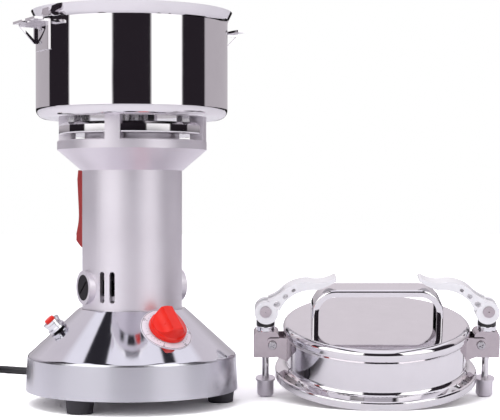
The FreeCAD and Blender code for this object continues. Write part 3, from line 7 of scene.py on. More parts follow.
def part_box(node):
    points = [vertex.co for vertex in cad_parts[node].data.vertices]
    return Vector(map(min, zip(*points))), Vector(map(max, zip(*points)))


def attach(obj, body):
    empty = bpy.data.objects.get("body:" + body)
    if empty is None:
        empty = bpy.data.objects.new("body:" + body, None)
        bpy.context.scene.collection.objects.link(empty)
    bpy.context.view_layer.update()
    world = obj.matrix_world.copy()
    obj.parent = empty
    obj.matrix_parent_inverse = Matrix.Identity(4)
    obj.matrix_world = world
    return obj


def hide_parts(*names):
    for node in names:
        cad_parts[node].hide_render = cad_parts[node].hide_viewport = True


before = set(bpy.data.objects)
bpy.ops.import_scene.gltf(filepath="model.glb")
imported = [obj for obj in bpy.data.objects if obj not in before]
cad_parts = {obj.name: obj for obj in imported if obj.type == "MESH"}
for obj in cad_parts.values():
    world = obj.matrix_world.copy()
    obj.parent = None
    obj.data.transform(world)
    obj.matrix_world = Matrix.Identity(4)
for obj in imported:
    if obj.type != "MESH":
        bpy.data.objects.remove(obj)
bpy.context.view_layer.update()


# Three feet, each a black rubber cup on a pan-head screw that runs up into the base. The
# rubber is moulded; the screws, and the cover that closes the base below, are steel.
def linear(code):
    """The linear colour of an sRGB hex value, with full opacity."""
    shares = [int(code[n:n + 2], 16) / 255 for n in (1, 3, 5)]
    return [s / 12.92 if s <= 0.04045 else ((s + 0.055) / 1.055) ** 2.4 for s in shares] + [1.0]


def add_node(tree, kind, inputs=None, **settings):
    """Adds a node to a tree, with its settings, its values and the outputs that feed it."""
    made = tree.nodes.new(kind)
    for name, value in settings.items():
        setattr(made, name, value)
    for socket, value in (inputs or {}).items():
        if isinstance(value, bpy.types.NodeSocket):
            tree.links.new(value, made.inputs[socket])
        else:
            made.inputs[socket].default_value = value
    return made


def new_finish(name):
    """Starts a material, and gives it with its node tree and the piece's own coordinates."""
    finish = bpy.data.materials.new(name)
    finish.use_nodes = True
    finish.node_tree.nodes.clear()
    where = add_node(finish.node_tree, "ShaderNodeTexCoord").outputs["Object"]
    return finish, finish.node_tree, where


def surface(tree, inputs):
    """Ends a material with its surface shader."""
    shader = add_node(tree, "ShaderNodeBsdfPrincipled", inputs)
    add_node(tree, "ShaderNodeOutputMaterial", {"Surface": shader.outputs["BSDF"]})


def dress(finish, *names):
    """Gives the frame's own pieces a finish."""
    for name in names:
        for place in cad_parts[name].material_slots:
            place.material = finish


# Moulded rubber is nearly black and dull, and paler where it has gathered dust. Its moulded
# grain is drawn 0.8 mm wide, coarser than it is, so that it shows.
RUBBER_GRAIN, DUST_PATCH = 0.0008, 0.012
rubber, tree, where = new_finish("moulded nitrile rubber")
grain = add_node(tree, "ShaderNodeTexNoise",
                 {"Vector": where, "Scale": 1 / RUBBER_GRAIN, "Detail": 3.0})
dust = add_node(tree, "ShaderNodeTexNoise",
                {"Vector": where, "Scale": 1 / DUST_PATCH, "Detail": 4.0})
tone = add_node(tree, "ShaderNodeMixRGB", {"Fac": dust.outputs["Fac"], "Color1": linear("#242127"),
                                           "Color2": linear("#35313a")})
rough = add_node(tree, "ShaderNodeMapRange", {"Value": dust.outputs["Fac"],
                                              "To Min": 0.42, "To Max": 0.66})
bump = add_node(tree, "ShaderNodeBump", {"Height": grain.outputs["Fac"], "Strength": 0.35,
                                         "Distance": 0.00012})
surface(tree, {"Base Color": tone.outputs["Color"], "Roughness": rough.outputs["Result"],
               "Normal": bump.outputs["Normal"], "IOR": 1.52})
dress(rubber, "rubber_feet", "shaft_seal")

# Turned steel under zinc plate is mid grey, with rings left by the tool and cloudy stains.
# The rings are drawn 1.2 mm apart, wider than they are, so that they show.
TOOL_RING, ZINC_STAIN = 0.0012, 0.006
turned_steel, tree, where = new_finish("turned and zinc-plated steel")
lines = add_node(tree, "ShaderNodeTexWave", {"Vector": where, "Scale": 1 / TOOL_RING,
                                             "Distortion": 1.5, "Detail": 2.0}, bands_direction="Z")
stain = add_node(tree, "ShaderNodeTexNoise",
                 {"Vector": where, "Scale": 1 / ZINC_STAIN, "Detail": 3.0})
tone = add_node(tree, "ShaderNodeMixRGB", {"Fac": stain.outputs["Fac"], "Color1": linear("#aaa7ab"),
                                           "Color2": linear("#c9c6ca")})
rough = add_node(tree, "ShaderNodeMapRange", {"Value": stain.outputs["Fac"],
                                              "To Min": 0.16, "To Max": 0.34})
bump = add_node(tree, "ShaderNodeBump", {"Height": lines.outputs["Fac"], "Strength": 0.12,
                                         "Distance": 0.00005})
surface(tree, {"Base Color": tone.outputs["Color"], "Metallic": 1.0,
               "Roughness": rough.outputs["Result"], "Normal": bump.outputs["Normal"]})
dress(turned_steel, "foot_screws", "bottom_cover")


# The base is one shell of stainless sheet: a low skirt, then a cone up to the column. It is
# spun over a form and polished, the cone brighter than the skirt.

# Satin-polished steel is a cooler grey with softer bands. Below SKIRT_TOP it is dull enough
# to turn them into broad shadows. Its grit lines are drawn 1.2 mm wide, so that they show.
GRIT_LINE, SATIN_HAZE = 0.0012, 0.03
SKIRT_TOP, SKIRT_DULLNESS = 0.041, 0.2
satin_steel, tree, where = new_finish("satin-polished stainless steel")
lines = add_node(tree, "ShaderNodeTexNoise",
                 {"Vector": where, "Scale": 1 / GRIT_LINE, "Detail": 3.0})
haze = add_node(tree, "ShaderNodeTexNoise",
                {"Vector": where, "Scale": 1 / SATIN_HAZE, "Detail": 4.0})
tone = add_node(tree, "ShaderNodeMixRGB", {"Fac": haze.outputs["Fac"], "Color1": linear("#cecdd4"),
                                           "Color2": linear("#dad9e0")})
rough = add_node(tree, "ShaderNodeMapRange", {"Value": haze.outputs["Fac"],
                                              "To Min": 0.05, "To Max": 0.08})
bump = add_node(tree, "ShaderNodeBump", {"Height": lines.outputs["Fac"], "Strength": 0.08,
                                         "Distance": 0.00004})
height = add_node(tree, "ShaderNodeSeparateXYZ", {"Vector": where})
skirt = add_node(tree, "ShaderNodeMath", {0: height.outputs["Z"], 1: SKIRT_TOP},
                 operation="LESS_THAN")
duller = add_node(tree, "ShaderNodeMath", {0: skirt.outputs["Value"], 1: SKIRT_DULLNESS,
                                           2: rough.outputs["Result"]}, operation="MULTIPLY_ADD")
surface(tree, {"Base Color": tone.outputs["Color"], "Metallic": 1.0,
               "Roughness": duller.outputs["Value"], "Normal": bump.outputs["Normal"]})
dress(satin_steel, "base_shell")


# The timer: a clockwork body inside the cone, a round dial of printed foil stuck outside it,
# and a red knob with a grip ridge on the spindle. The dial's marks are ink, so they are a
# thin mesh that is wrapped onto it.
KNOB_AZIMUTH = math.radians(32.5)
CONE_TOP, RIDGE_RADIUS, NECK_RADIUS = 0.080, 0.0882, 0.0452
CONE_SLOPE = math.atan2(CONE_TOP - SKIRT_TOP, RIDGE_RADIUS - NECK_RADIUS)
DIAL_RADIUS, DIAL_CIRCLE, DIAL_HEIGHT = 0.022, 0.0604, 0.0662

# The round bearing plate is centred on the mill's axis, which is upright.
low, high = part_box("bearing_plate")
MILL_AXIS = Vector(((low.x + high.x) / 2, (low.y + high.y) / 2, 0))

# White-printed foil is almost matt, with a slight unevenness in its shine.
FOIL_MOTTLE = 0.003
foil, tree, where = new_finish("printed aluminium foil")
haze = add_node(tree, "ShaderNodeTexNoise",
                {"Vector": where, "Scale": 1 / FOIL_MOTTLE, "Detail": 4.0})
tone = add_node(tree, "ShaderNodeMixRGB", {"Fac": haze.outputs["Fac"], "Color1": linear("#e4dee8"),
                                           "Color2": linear("#f4eef6")})
rough = add_node(tree, "ShaderNodeMapRange", {"Value": haze.outputs["Fac"],
                                              "To Min": 0.28, "To Max": 0.42})
bump = add_node(tree, "ShaderNodeBump", {"Height": haze.outputs["Fac"], "Strength": 0.1,
                                         "Distance": 0.00004})
surface(tree, {"Base Color": tone.outputs["Color"], "Roughness": rough.outputs["Result"],
               "Normal": bump.outputs["Normal"], "Metallic": 0.15, "IOR": 1.5})
dress(foil, "timer_dial")

# The ink is black where it lies thick and dark grey where it lies thin.
INK_MOTTLE = 0.0012
ink, tree, where = new_finish("black printing ink")
haze = add_node(tree, "ShaderNodeTexNoise",
                {"Vector": where, "Scale": 1 / INK_MOTTLE, "Detail": 2.0})
tone = add_node(tree, "ShaderNodeMixRGB", {"Fac": haze.outputs["Fac"], "Color1": linear("#2b282e"),
                                           "Color2": linear("#4b474f")})
surface(tree, {"Base Color": tone.outputs["Color"], "Roughness": 0.45})


def clear_selection():
    """Leaves nothing selected, so that an operator acts on the new piece alone."""
    bpy.ops.object.select_all(action="DESELECT")


def set_down(piece):
    """Moves a piece's place from its object into its mesh."""
    piece.data.transform(piece.matrix_world)
    piece.matrix_world = Matrix.Identity(4)
    return piece


def as_mesh(piece):
    """Turns a text into a mesh of its own."""
    clear_selection()
    piece.select_set(True)
    bpy.context.view_layer.objects.active = piece
    bpy.ops.object.convert(target="MESH")
    return bpy.context.view_layer.objects.active


def copy_at(piece, place):
    """Copies a piece with a mesh of its own, which is moved to a place."""
    twin = piece.copy()
    twin.data = piece.data.copy()
    twin.data.transform(place)
    bpy.context.scene.collection.objects.link(twin)
    return twin


def join(pieces):
    """Joins pieces into one, and gives it."""
    clear_selection()
    for piece in pieces:
        piece.select_set(True)
    bpy.context.view_layer.objects.active = pieces[0]
    bpy.ops.object.join()
    return bpy.context.object


# The marks are laid out flat above the dial, square to the cone, and then dropped onto it.
outward = Vector((math.sin(KNOB_AZIMUTH) * math.sin(CONE_SLOPE),
                  -math.cos(KNOB_AZIMUTH) * math.sin(CONE_SLOPE), math.cos(CONE_SLOPE)))
sideways = Vector((math.cos(KNOB_AZIMUTH), math.sin(KNOB_AZIMUTH), 0))
uphill = outward.cross(sideways)
dial_middle = MILL_AXIS + Vector((math.sin(KNOB_AZIMUTH) * DIAL_CIRCLE,
                                  -math.cos(KNOB_AZIMUTH) * DIAL_CIRCLE, DIAL_HEIGHT))
ABOVE_DIAL = 0.01
on_dial = Matrix.Translation(dial_middle + outward * ABOVE_DIAL) @ Matrix(
    (sideways, uphill, outward)).transposed().to_4x4()

# The scale runs from 0 to 30 over 300 degrees, with a longer tick and a number at every fifth.
TICKS, SWEEP, NUMBERED = 31, math.radians(300), 5
TICK_CIRCLE, TICK_WIDTH, LONG_TICK, SHORT_TICK = 0.0172, 0.00035, 0.0016, 0.0009
NUMBER_CIRCLE, NUMBER_HEIGHT = 0.0202, 0.0031
clear_selection()
bpy.ops.mesh.primitive_plane_add(size=1)
stroke = bpy.context.object
marks = []
for tick in range(TICKS):
    turned = Matrix.Rotation(SWEEP / 2 - SWEEP * tick / (TICKS - 1), 4, "Z")
    tall = LONG_TICK if tick % NUMBERED == 0 else SHORT_TICK
    marks.append(copy_at(stroke, turned @ Matrix.Translation((0, TICK_CIRCLE + tall / 2, 0))
                         @ Matrix.Diagonal((TICK_WIDTH, tall, 1, 1))))
    if tick % NUMBERED == 0:
        clear_selection()
        bpy.ops.object.text_add()
        number = bpy.context.object
        number.data.body = str(tick)
        number.data.size = NUMBER_HEIGHT
        number.data.align_x, number.data.align_y = "CENTER", "CENTER"
        number = as_mesh(number)
        number.data.transform(turned @ Matrix.Translation((0, NUMBER_CIRCLE, 0)))
        marks.append(number)
bpy.data.objects.remove(stroke)

# A thin ring is printed along the dial's rim.
RIM_INSET, RIM_NARROWING = 0.0005, 0.984
clear_selection()
bpy.ops.mesh.primitive_circle_add(vertices=96, radius=DIAL_RADIUS - RIM_INSET, fill_type="NOTHING")
rim = bpy.context.object
bpy.ops.object.mode_set(mode="EDIT")
bpy.ops.mesh.extrude_edges_move()
bpy.ops.transform.resize(value=(RIM_NARROWING, RIM_NARROWING, 1))
bpy.ops.object.mode_set(mode="OBJECT")
marks.append(rim)
dial_marks = join(marks)
dial_marks.name = dial_marks.data.name = "dial_marks"
dial_marks.matrix_world = on_dial
INK_THICKNESS = 0.00006
wrap = dial_marks.modifiers.new("wrap", "SHRINKWRAP")
wrap.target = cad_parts["timer_dial"]
wrap.wrap_method = "PROJECT"
wrap.use_project_z = True
wrap.use_negative_direction = True
wrap.use_positive_direction = False
wrap.offset = INK_THICKNESS
bpy.ops.object.modifier_apply(modifier="wrap")
set_down(dial_marks)
dial_marks.data.materials.clear()
dial_marks.data.materials.append(ink)
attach(dial_marks, "mill")

# Moulded ABS in signal red is glossy, with soft flow clouds. Its faint skin is drawn 0.7 mm
# wide, coarser than it is, so that it shows.
ABS_FLOW, ABS_SKIN = 0.01, 0.0007
red_abs, tree, where = new_finish("glossy red ABS")
flow = add_node(tree, "ShaderNodeTexNoise",
                {"Vector": where, "Scale": 1 / ABS_FLOW, "Detail": 3.0})
grain = add_node(tree, "ShaderNodeTexNoise",
                 {"Vector": where, "Scale": 1 / ABS_SKIN, "Detail": 2.0})
tone = add_node(tree, "ShaderNodeMixRGB", {"Fac": flow.outputs["Fac"], "Color1": linear("#e01a0e"),
                                           "Color2": linear("#ee2c1c")})
rough = add_node(tree, "ShaderNodeMapRange", {"Value": flow.outputs["Fac"],
                                              "To Min": 0.24, "To Max": 0.36})
bump = add_node(tree, "ShaderNodeBump", {"Height": grain.outputs["Fac"], "Strength": 0.12,
                                         "Distance": 0.00006})
surface(tree, {"Base Color": tone.outputs["Color"], "Roughness": rough.outputs["Result"],
               "Normal": bump.outputs["Normal"], "IOR": 1.54, "Specular IOR Level": 0.3,
               "Coat Weight": 0.1, "Coat Roughness": 0.2})
dress(red_abs, "timer_knob")

# Moulded nylon is black and silky. Its grain is drawn 0.6 mm wide, so that it shows.
NYLON_FLOW, NYLON_GRAIN = 0.008, 0.0006
black_nylon, tree, where = new_finish("moulded black nylon")
flow = add_node(tree, "ShaderNodeTexNoise",
                {"Vector": where, "Scale": 1 / NYLON_FLOW, "Detail": 3.0})
grain = add_node(tree, "ShaderNodeTexNoise",
                 {"Vector": where, "Scale": 1 / NYLON_GRAIN, "Detail": 2.0})
tone = add_node(tree, "ShaderNodeMixRGB", {"Fac": flow.outputs["Fac"], "Color1": linear("#19161a"),
                                           "Color2": linear("#252127")})
rough = add_node(tree, "ShaderNodeMapRange", {"Value": flow.outputs["Fac"],
                                              "To Min": 0.45, "To Max": 0.6})
bump = add_node(tree, "ShaderNodeBump", {"Height": grain.outputs["Fac"], "Strength": 0.25,
                                         "Distance": 0.0001})
surface(tree, {"Base Color": tone.outputs["Color"], "Roughness": rough.outputs["Result"],
               "Normal": bump.outputs["Normal"], "IOR": 1.53, "Specular IOR Level": 0.12})
dress(black_nylon, "timer_body")
dress(turned_steel, "timer_spindle")


# The overload reset: a switch body inside the cone, held by a chrome-plated nut outside,
# with a red cap that is pressed to reset it.

# Chrome plate is the brightest metal here, a little cloudy where it was wiped.
WIPE_MARK = 0.004
chrome, tree, where = new_finish("bright chrome plate")
haze = add_node(tree, "ShaderNodeTexNoise",
                {"Vector": where, "Scale": 1 / WIPE_MARK, "Detail": 4.0})
tone = add_node(tree, "ShaderNodeMixRGB", {"Fac": haze.outputs["Fac"], "Color1": linear("#dedee2"),
                                           "Color2": linear("#ededf0")})
rough = add_node(tree, "ShaderNodeMapRange", {"Value": haze.outputs["Fac"],
                                              "To Min": 0.05, "To Max": 0.14})
bump = add_node(tree, "ShaderNodeBump", {"Height": haze.outputs["Fac"], "Strength": 0.08,
                                         "Distance": 0.0001})
surface(tree, {"Base Color": tone.outputs["Color"], "Metallic": 1.0,
               "Roughness": rough.outputs["Result"], "Normal": bump.outputs["Normal"]})
dress(chrome, "overload_collar")
dress(black_nylon, "overload_switch")
dress(red_abs, "overload_button")


# The mains lead: 7 mm round PVC cord, 1.5 m long, out of the back of the skirt through a
# tapered rubber strain relief. It bends left behind the mill, where a short piece of it shows
# from the front, and the rest is wound up.
cord_route = [(0, 0.118, 0.023), (0, 0.142, 0.023), (-0.006, 0.165, 0.0145),
              (-0.023, 0.183, 0.0055), (-0.052, 0.188, 0.0035), (-0.082, 0.184, 0.0035),
              (-0.113, 0.190, 0.0035), (-0.146, 0.208, 0.0035)]
route = [MILL_AXIS + Vector(point) for point in cord_route]
CORD_DIAMETER = 0.007

# The rest lies in a flat spiral that runs inwards, steps up by one cord, and runs out again.
COIL_RADIUS, COIL_PITCH, COIL_TURNS = 0.0475, 0.0075, 2.4
COIL_LEAD, PLUG_LEAD, POINTS_A_TURN = 0.040, 0.020, 24
heading = (route[-1] - route[-2]).normalized()
entry = route[-1] + heading * COIL_LEAD
inward = Vector((-heading.y, heading.x, 0))
coil_middle = entry + inward * COIL_RADIUS
first_angle = math.atan2(-inward.y, -inward.x)
STEP_UP = 0.5
whole = 2 * COIL_TURNS + STEP_UP
steps = math.ceil(whole * POINTS_A_TURN)
for step in range(steps + 1):
    turn = whole * step / steps
    radius = COIL_RADIUS - COIL_PITCH * min(turn, whole - turn)
    climb = min(max(turn - COIL_TURNS, 0), STEP_UP)
    angle = first_angle + 2 * math.pi * turn
    route.append(coil_middle + Vector((radius * math.cos(angle), radius * math.sin(angle),
                                       COIL_PITCH * (1 - math.cos(2 * math.pi * climb)) / 2)))
last_heading = (route[-1] - route[-2]).normalized()
last_heading.z = 0
route.append(route[-1] + last_heading * PLUG_LEAD)

line = bpy.data.curves.new("mains_cord", "CURVE")
line.dimensions = "3D"
line.bevel_depth = CORD_DIAMETER / 2
line.bevel_resolution = 5
line.use_fill_caps = True
line.resolution_u = 5
spline = line.splines.new("NURBS")
spline.points.add(len(route) - 1)
for point, spot in zip(spline.points, route):
    point.co = (*spot, 1)
spline.order_u = 3
spline.use_endpoint_u = True
mains_cord = bpy.data.objects.new("mains_cord", line)
bpy.context.scene.collection.objects.link(mains_cord)

# Extruded PVC is black with a waxy shine. Its skin is drawn 0.9 mm wide, so that it shows.
PVC_SKIN, PVC_FLOW = 0.0009, 0.015
pvc, tree, where = new_finish("black PVC sheath")
grain = add_node(tree, "ShaderNodeTexNoise",
                 {"Vector": where, "Scale": 1 / PVC_SKIN, "Detail": 2.0})
flow = add_node(tree, "ShaderNodeTexNoise",
                {"Vector": where, "Scale": 1 / PVC_FLOW, "Detail": 3.0})
tone = add_node(tree, "ShaderNodeMixRGB", {"Fac": flow.outputs["Fac"], "Color1": linear("#201f22"),
                                           "Color2": linear("#302f33")})
rough = add_node(tree, "ShaderNodeMapRange", {"Value": flow.outputs["Fac"],
                                              "To Min": 0.32, "To Max": 0.5})
bump = add_node(tree, "ShaderNodeBump", {"Height": grain.outputs["Fac"], "Strength": 0.2,
                                         "Distance": 0.0001})
surface(tree, {"Base Color": tone.outputs["Color"], "Roughness": rough.outputs["Result"],
               "Normal": bump.outputs["Normal"], "IOR": 1.53})
line.materials.append(pvc)
dress(rubber, "strain_relief")
dress(pvc, "plug_body")

# Bare brass is yellow, and browner where it has been handled.
BRASS_STAIN = 0.003
brass, tree, where = new_finish("bare brass")
stain = add_node(tree, "ShaderNodeTexNoise",
                 {"Vector": where, "Scale": 1 / BRASS_STAIN, "Detail": 4.0})
tone = add_node(tree, "ShaderNodeMixRGB", {"Fac": stain.outputs["Fac"], "Color1": linear("#b99443"),
                                           "Color2": linear("#dcbf74")})
rough = add_node(tree, "ShaderNodeMapRange", {"Value": stain.outputs["Fac"],
                                              "To Min": 0.18, "To Max": 0.36})
bump = add_node(tree, "ShaderNodeBump", {"Height": stain.outputs["Fac"], "Strength": 0.1,
                                         "Distance": 0.00005})
surface(tree, {"Base Color": tone.outputs["Color"], "Metallic": 1.0,
               "Roughness": rough.outputs["Result"], "Normal": bump.outputs["Normal"]})
dress(brass, "plug_pins")

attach(mains_cord, "mill")
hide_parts("cord_coil", "cord_stretch")


# The motor inside the column: laminated iron core with copper field coils, an armature
# with its commutator and fan on the shaft, two ball bearings and the lower bracket.

# Stacked laminations are dark iron with the sheets' edges as level lines. The sheets are
# drawn 1.6 mm thick, thicker than they are, so that they show.
SHEET = 0.0016
iron, tree, where = new_finish("stacked iron laminations")
sheets = add_node(tree, "ShaderNodeTexWave", {"Vector": where, "Scale": 1 / SHEET,
                                              "Distortion": 0.4}, bands_direction="Z")
tone = add_node(tree, "ShaderNodeMixRGB", {"Fac": sheets.outputs["Fac"],
                                           "Color1": linear("#4a484c"),
                                           "Color2": linear("#7b787d")})
bump = add_node(tree, "ShaderNodeBump", {"Height": sheets.outputs["Fac"], "Strength": 0.5,
                                         "Distance": 0.00015})
surface(tree, {"Base Color": tone.outputs["Color"], "Metallic": 0.9, "Roughness": 0.42,
               "Normal": bump.outputs["Normal"]})
dress(iron, "stator_core", "wound_armature")

# Enamelled wire is a glossy red-brown, wound in close turns. A turn is drawn 2.2 mm wide,
# wider than the wire, so that it shows.
WIRE_TURN = 0.0022
copper, tree, where = new_finish("enamelled copper wire")
wires = add_node(tree, "ShaderNodeTexWave", {"Vector": where, "Scale": 1 / WIRE_TURN,
                                             "Distortion": 1.0}, bands_direction="DIAGONAL")
tone = add_node(tree, "ShaderNodeMixRGB", {"Fac": wires.outputs["Fac"], "Color1": linear("#6d3212"),
                                           "Color2": linear("#c9763c")})
bump = add_node(tree, "ShaderNodeBump", {"Height": wires.outputs["Fac"], "Strength": 0.7,
                                         "Distance": 0.0003})
surface(tree, {"Base Color": tone.outputs["Color"], "Metallic": 0.8, "Roughness": 0.3,
               "Normal": bump.outputs["Normal"], "Coat Weight": 0.5})
dress(copper, "field_coils")

# Pressed carbon is charcoal grey, matt and grainy.
CARBON_GRAIN = 0.0007
carbon, tree, where = new_finish("pressed carbon")
grain = add_node(tree, "ShaderNodeTexNoise",
                 {"Vector": where, "Scale": 1 / CARBON_GRAIN, "Detail": 4.0})
tone = add_node(tree, "ShaderNodeMixRGB", {"Fac": grain.outputs["Fac"], "Color1": linear("#242326"),
                                           "Color2": linear("#434145")})
surface(tree, {"Base Color": tone.outputs["Color"], "Roughness": 0.6})
dress(carbon, "carbon_brushes")
dress(turned_steel, "motor_shaft", "shaft_bearings", "lower_bearing_bracket")
dress(black_nylon, "cooling_fan", "brush_holders")


# The column is a cast aluminium tube with two bosses for the carbon brushes. A black screw
# cap closes each brush tube, and four screws hold the column down on the base.

# Blasted aluminium is an even silver satin. The grit's dents are drawn 0.8 mm wide, coarser
# than they are, so that they show.
BLAST_DENT, CAST_CLOUD = 0.0008, 0.03
cast, tree, where = new_finish("blasted cast aluminium")
grain = add_node(tree, "ShaderNodeTexNoise",
                 {"Vector": where, "Scale": 1 / BLAST_DENT, "Detail": 3.0})
cloud = add_node(tree, "ShaderNodeTexNoise",
                 {"Vector": where, "Scale": 1 / CAST_CLOUD, "Detail": 4.0})
tone = add_node(tree, "ShaderNodeMixRGB", {"Fac": cloud.outputs["Fac"], "Color1": linear("#ded8df"),
                                           "Color2": linear("#ebe6ec")})
rough = add_node(tree, "ShaderNodeMapRange", {"Value": cloud.outputs["Fac"],
                                              "To Min": 0.38, "To Max": 0.46})
bump = add_node(tree, "ShaderNodeBump", {"Height": grain.outputs["Fac"], "Strength": 0.35,
                                         "Distance": 0.00012})
surface(tree, {"Base Color": tone.outputs["Color"], "Metallic": 0.9,
               "Roughness": rough.outputs["Result"], "Normal": bump.outputs["Normal"]})
dress(cast, "column_casting", "top_casting")
dress(turned_steel, "column_screws")
dress(black_nylon, "brush_caps")


# The carry handle: one moulding of glass-filled nylon with a gap for the fingers. Two screws
# fix it to the back of the column.

# Sparked nylon is a dull, deep red. Its grain is drawn 0.8 mm wide, so that it shows.
SPARK_GRAIN, HANDLE_FLOW = 0.0008, 0.02
red_nylon, tree, where = new_finish("sparked dark red nylon")
grain = add_node(tree, "ShaderNodeTexNoise",
                 {"Vector": where, "Scale": 1 / SPARK_GRAIN, "Detail": 3.0})
flow = add_node(tree, "ShaderNodeTexNoise",
                {"Vector": where, "Scale": 1 / HANDLE_FLOW, "Detail": 3.0})
tone = add_node(tree, "ShaderNodeMixRGB", {"Fac": flow.outputs["Fac"], "Color1": linear("#921412"),
                                           "Color2": linear("#a11d1a")})
rough = add_node(tree, "ShaderNodeMapRange", {"Value": grain.outputs["Fac"],
                                              "To Min": 0.42, "To Max": 0.58})
bump = add_node(tree, "ShaderNodeBump", {"Height": grain.outputs["Fac"], "Strength": 0.4,
                                         "Distance": 0.00015})
surface(tree, {"Base Color": tone.outputs["Color"], "Roughness": rough.outputs["Result"],
               "Normal": bump.outputs["Normal"], "IOR": 1.53})
dress(red_nylon, "carry_handle")
dress(turned_steel, "handle_screws")


# The head: a cast flare with four posts on the column, a polished bearing plate on them, and
# the hex spacers, screws and seal housing that carry the bowl.

# Mirror-polished steel shows sharp bands of the studio, which waver a little where the sheet
# was spun, and a breath of haze.
SPUN_WAVE, POLISH_HAZE = 0.045, 0.02
polished, tree, where = new_finish("mirror-polished stainless steel")
waves = add_node(tree, "ShaderNodeTexNoise",
                 {"Vector": where, "Scale": 1 / SPUN_WAVE, "Detail": 1.0})
haze = add_node(tree, "ShaderNodeTexNoise", {"Vector": where, "Scale": 1 / POLISH_HAZE,
                                             "Detail": 5.0, "Roughness": 0.65})
tone = add_node(tree, "ShaderNodeMixRGB", {"Fac": haze.outputs["Fac"], "Color1": linear("#dad7da"),
                                           "Color2": linear("#e5e2e5")})
rough = add_node(tree, "ShaderNodeMapRange", {"Value": haze.outputs["Fac"],
                                              "To Min": 0.025, "To Max": 0.075})
bump = add_node(tree, "ShaderNodeBump", {"Height": waves.outputs["Fac"], "Strength": 0.25,
                                         "Distance": 0.0004})
surface(tree, {"Base Color": tone.outputs["Color"], "Metallic": 1.0,
               "Roughness": rough.outputs["Result"], "Normal": bump.outputs["Normal"]})
dress(polished, "bearing_plate")
dress(turned_steel, "bowl_spacers", "bowl_screws", "seal_housing")


# The bowl, spun and polished inside and out, with a pressed latch bracket spot-welded to
# each side. Three ground blades and their spacers turn in it, held by a nut.
dress(polished, "grinding_bowl", "latch_brackets")
dress(turned_steel, "blade_spacers", "blade_nut")

# Each bracket has two spot welds: round dents with a raised ring, pressed by the electrode.
BRACKET_AZIMUTHS, BRACKET_FACE = (math.radians(-59.4), math.radians(120.6)), 0.0829
WELD_RADIUS, WELD_DEPTH, WELD_HEIGHTS = 0.0017, 0.0012, (0.3006, 0.3110)
RING_WIDTH, RING_RISE = 0.35 * WELD_RADIUS, 0.00035
DENT_WIDTH, DENT_DEPTH = 0.3 * WELD_RADIUS, 0.0003
clear_selection()
bpy.ops.mesh.primitive_cylinder_add(vertices=24, radius=WELD_RADIUS, depth=WELD_DEPTH)
weld = bpy.context.object
bpy.ops.object.mode_set(mode="EDIT")
bpy.ops.mesh.select_all(action="DESELECT")
bpy.ops.object.mode_set(mode="OBJECT")
for face in weld.data.polygons:
    face.select = face.normal.z > 0.9
bpy.ops.object.mode_set(mode="EDIT")
bpy.ops.mesh.inset(thickness=RING_WIDTH, depth=RING_RISE)
bpy.ops.mesh.inset(thickness=DENT_WIDTH, depth=-DENT_DEPTH)
bpy.ops.object.mode_set(mode="OBJECT")
bpy.ops.object.shade_smooth_by_angle(angle=math.radians(50))
welds = []
for azimuth in BRACKET_AZIMUTHS:
    face_on = Vector((math.sin(azimuth), -math.cos(azimuth), 0))
    turned = face_on.to_track_quat("Z", "Y").to_matrix().to_4x4()
    for weld_height in WELD_HEIGHTS:
        spot = MILL_AXIS + face_on * BRACKET_FACE + Vector((0, 0, weld_height))
        welds.append(copy_at(weld, Matrix.Translation(spot) @ turned))
bpy.data.objects.remove(weld)
spot_welds = join(welds)
spot_welds.name = spot_welds.data.name = "spot_welds"
spot_welds.data.materials.append(turned_steel)
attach(spot_welds, "mill")

# A ground blade is a clean mid grey with scratches one way. They are drawn 1.8 mm apart,
# wider than they are, so that they show.
GRINDING_SCRATCH = 0.0018
ground, tree, where = new_finish("ground stainless blade")
lines = add_node(tree, "ShaderNodeTexWave", {"Vector": where, "Scale": 1 / GRINDING_SCRATCH,
                                             "Distortion": 2.0, "Detail": 3.0})
tone = add_node(tree, "ShaderNodeMixRGB", {"Fac": lines.outputs["Fac"], "Color1": linear("#b4b2b6"),
                                           "Color2": linear("#cbc9cd")})
rough = add_node(tree, "ShaderNodeMapRange", {"Value": lines.outputs["Fac"],
                                              "To Min": 0.2, "To Max": 0.32})
bump = add_node(tree, "ShaderNodeBump", {"Height": lines.outputs["Fac"], "Strength": 0.15,
                                         "Distance": 0.00005})
surface(tree, {"Base Color": tone.outputs["Color"], "Metallic": 1.0,
               "Roughness": rough.outputs["Result"], "Normal": bump.outputs["Normal"]})
dress(ground, "lower_blade", "middle_blade", "upper_blade")


# The lid, spun and polished like the bowl, with a silicone ring inside its rim and a
# channel handle of polished sheet on top.
dress(polished, "lid_shell", "lid_handle")

# Moulded silicone is a milky white that lets a little light in.
SILICONE_CLOUD = 0.005
silicone, tree, where = new_finish("milky silicone")
haze = add_node(tree, "ShaderNodeTexNoise",
                {"Vector": where, "Scale": 1 / SILICONE_CLOUD, "Detail": 3.0})
tone = add_node(tree, "ShaderNodeMixRGB", {"Fac": haze.outputs["Fac"], "Color1": linear("#d4d2cd"),
                                           "Color2": linear("#e3e1dc")})
surface(tree, {"Base Color": tone.outputs["Color"], "Roughness": 0.4, "IOR": 1.41,
               "Subsurface Weight": 0.2, "Subsurface Scale": 0.002})
dress(silicone, "lid_seal")


# Two lid clamps: a clevis on the lid, a block that swings in it on a screw, a rod through
# the block with a thumb nut below, and a die-cast cam lever with three holes above.

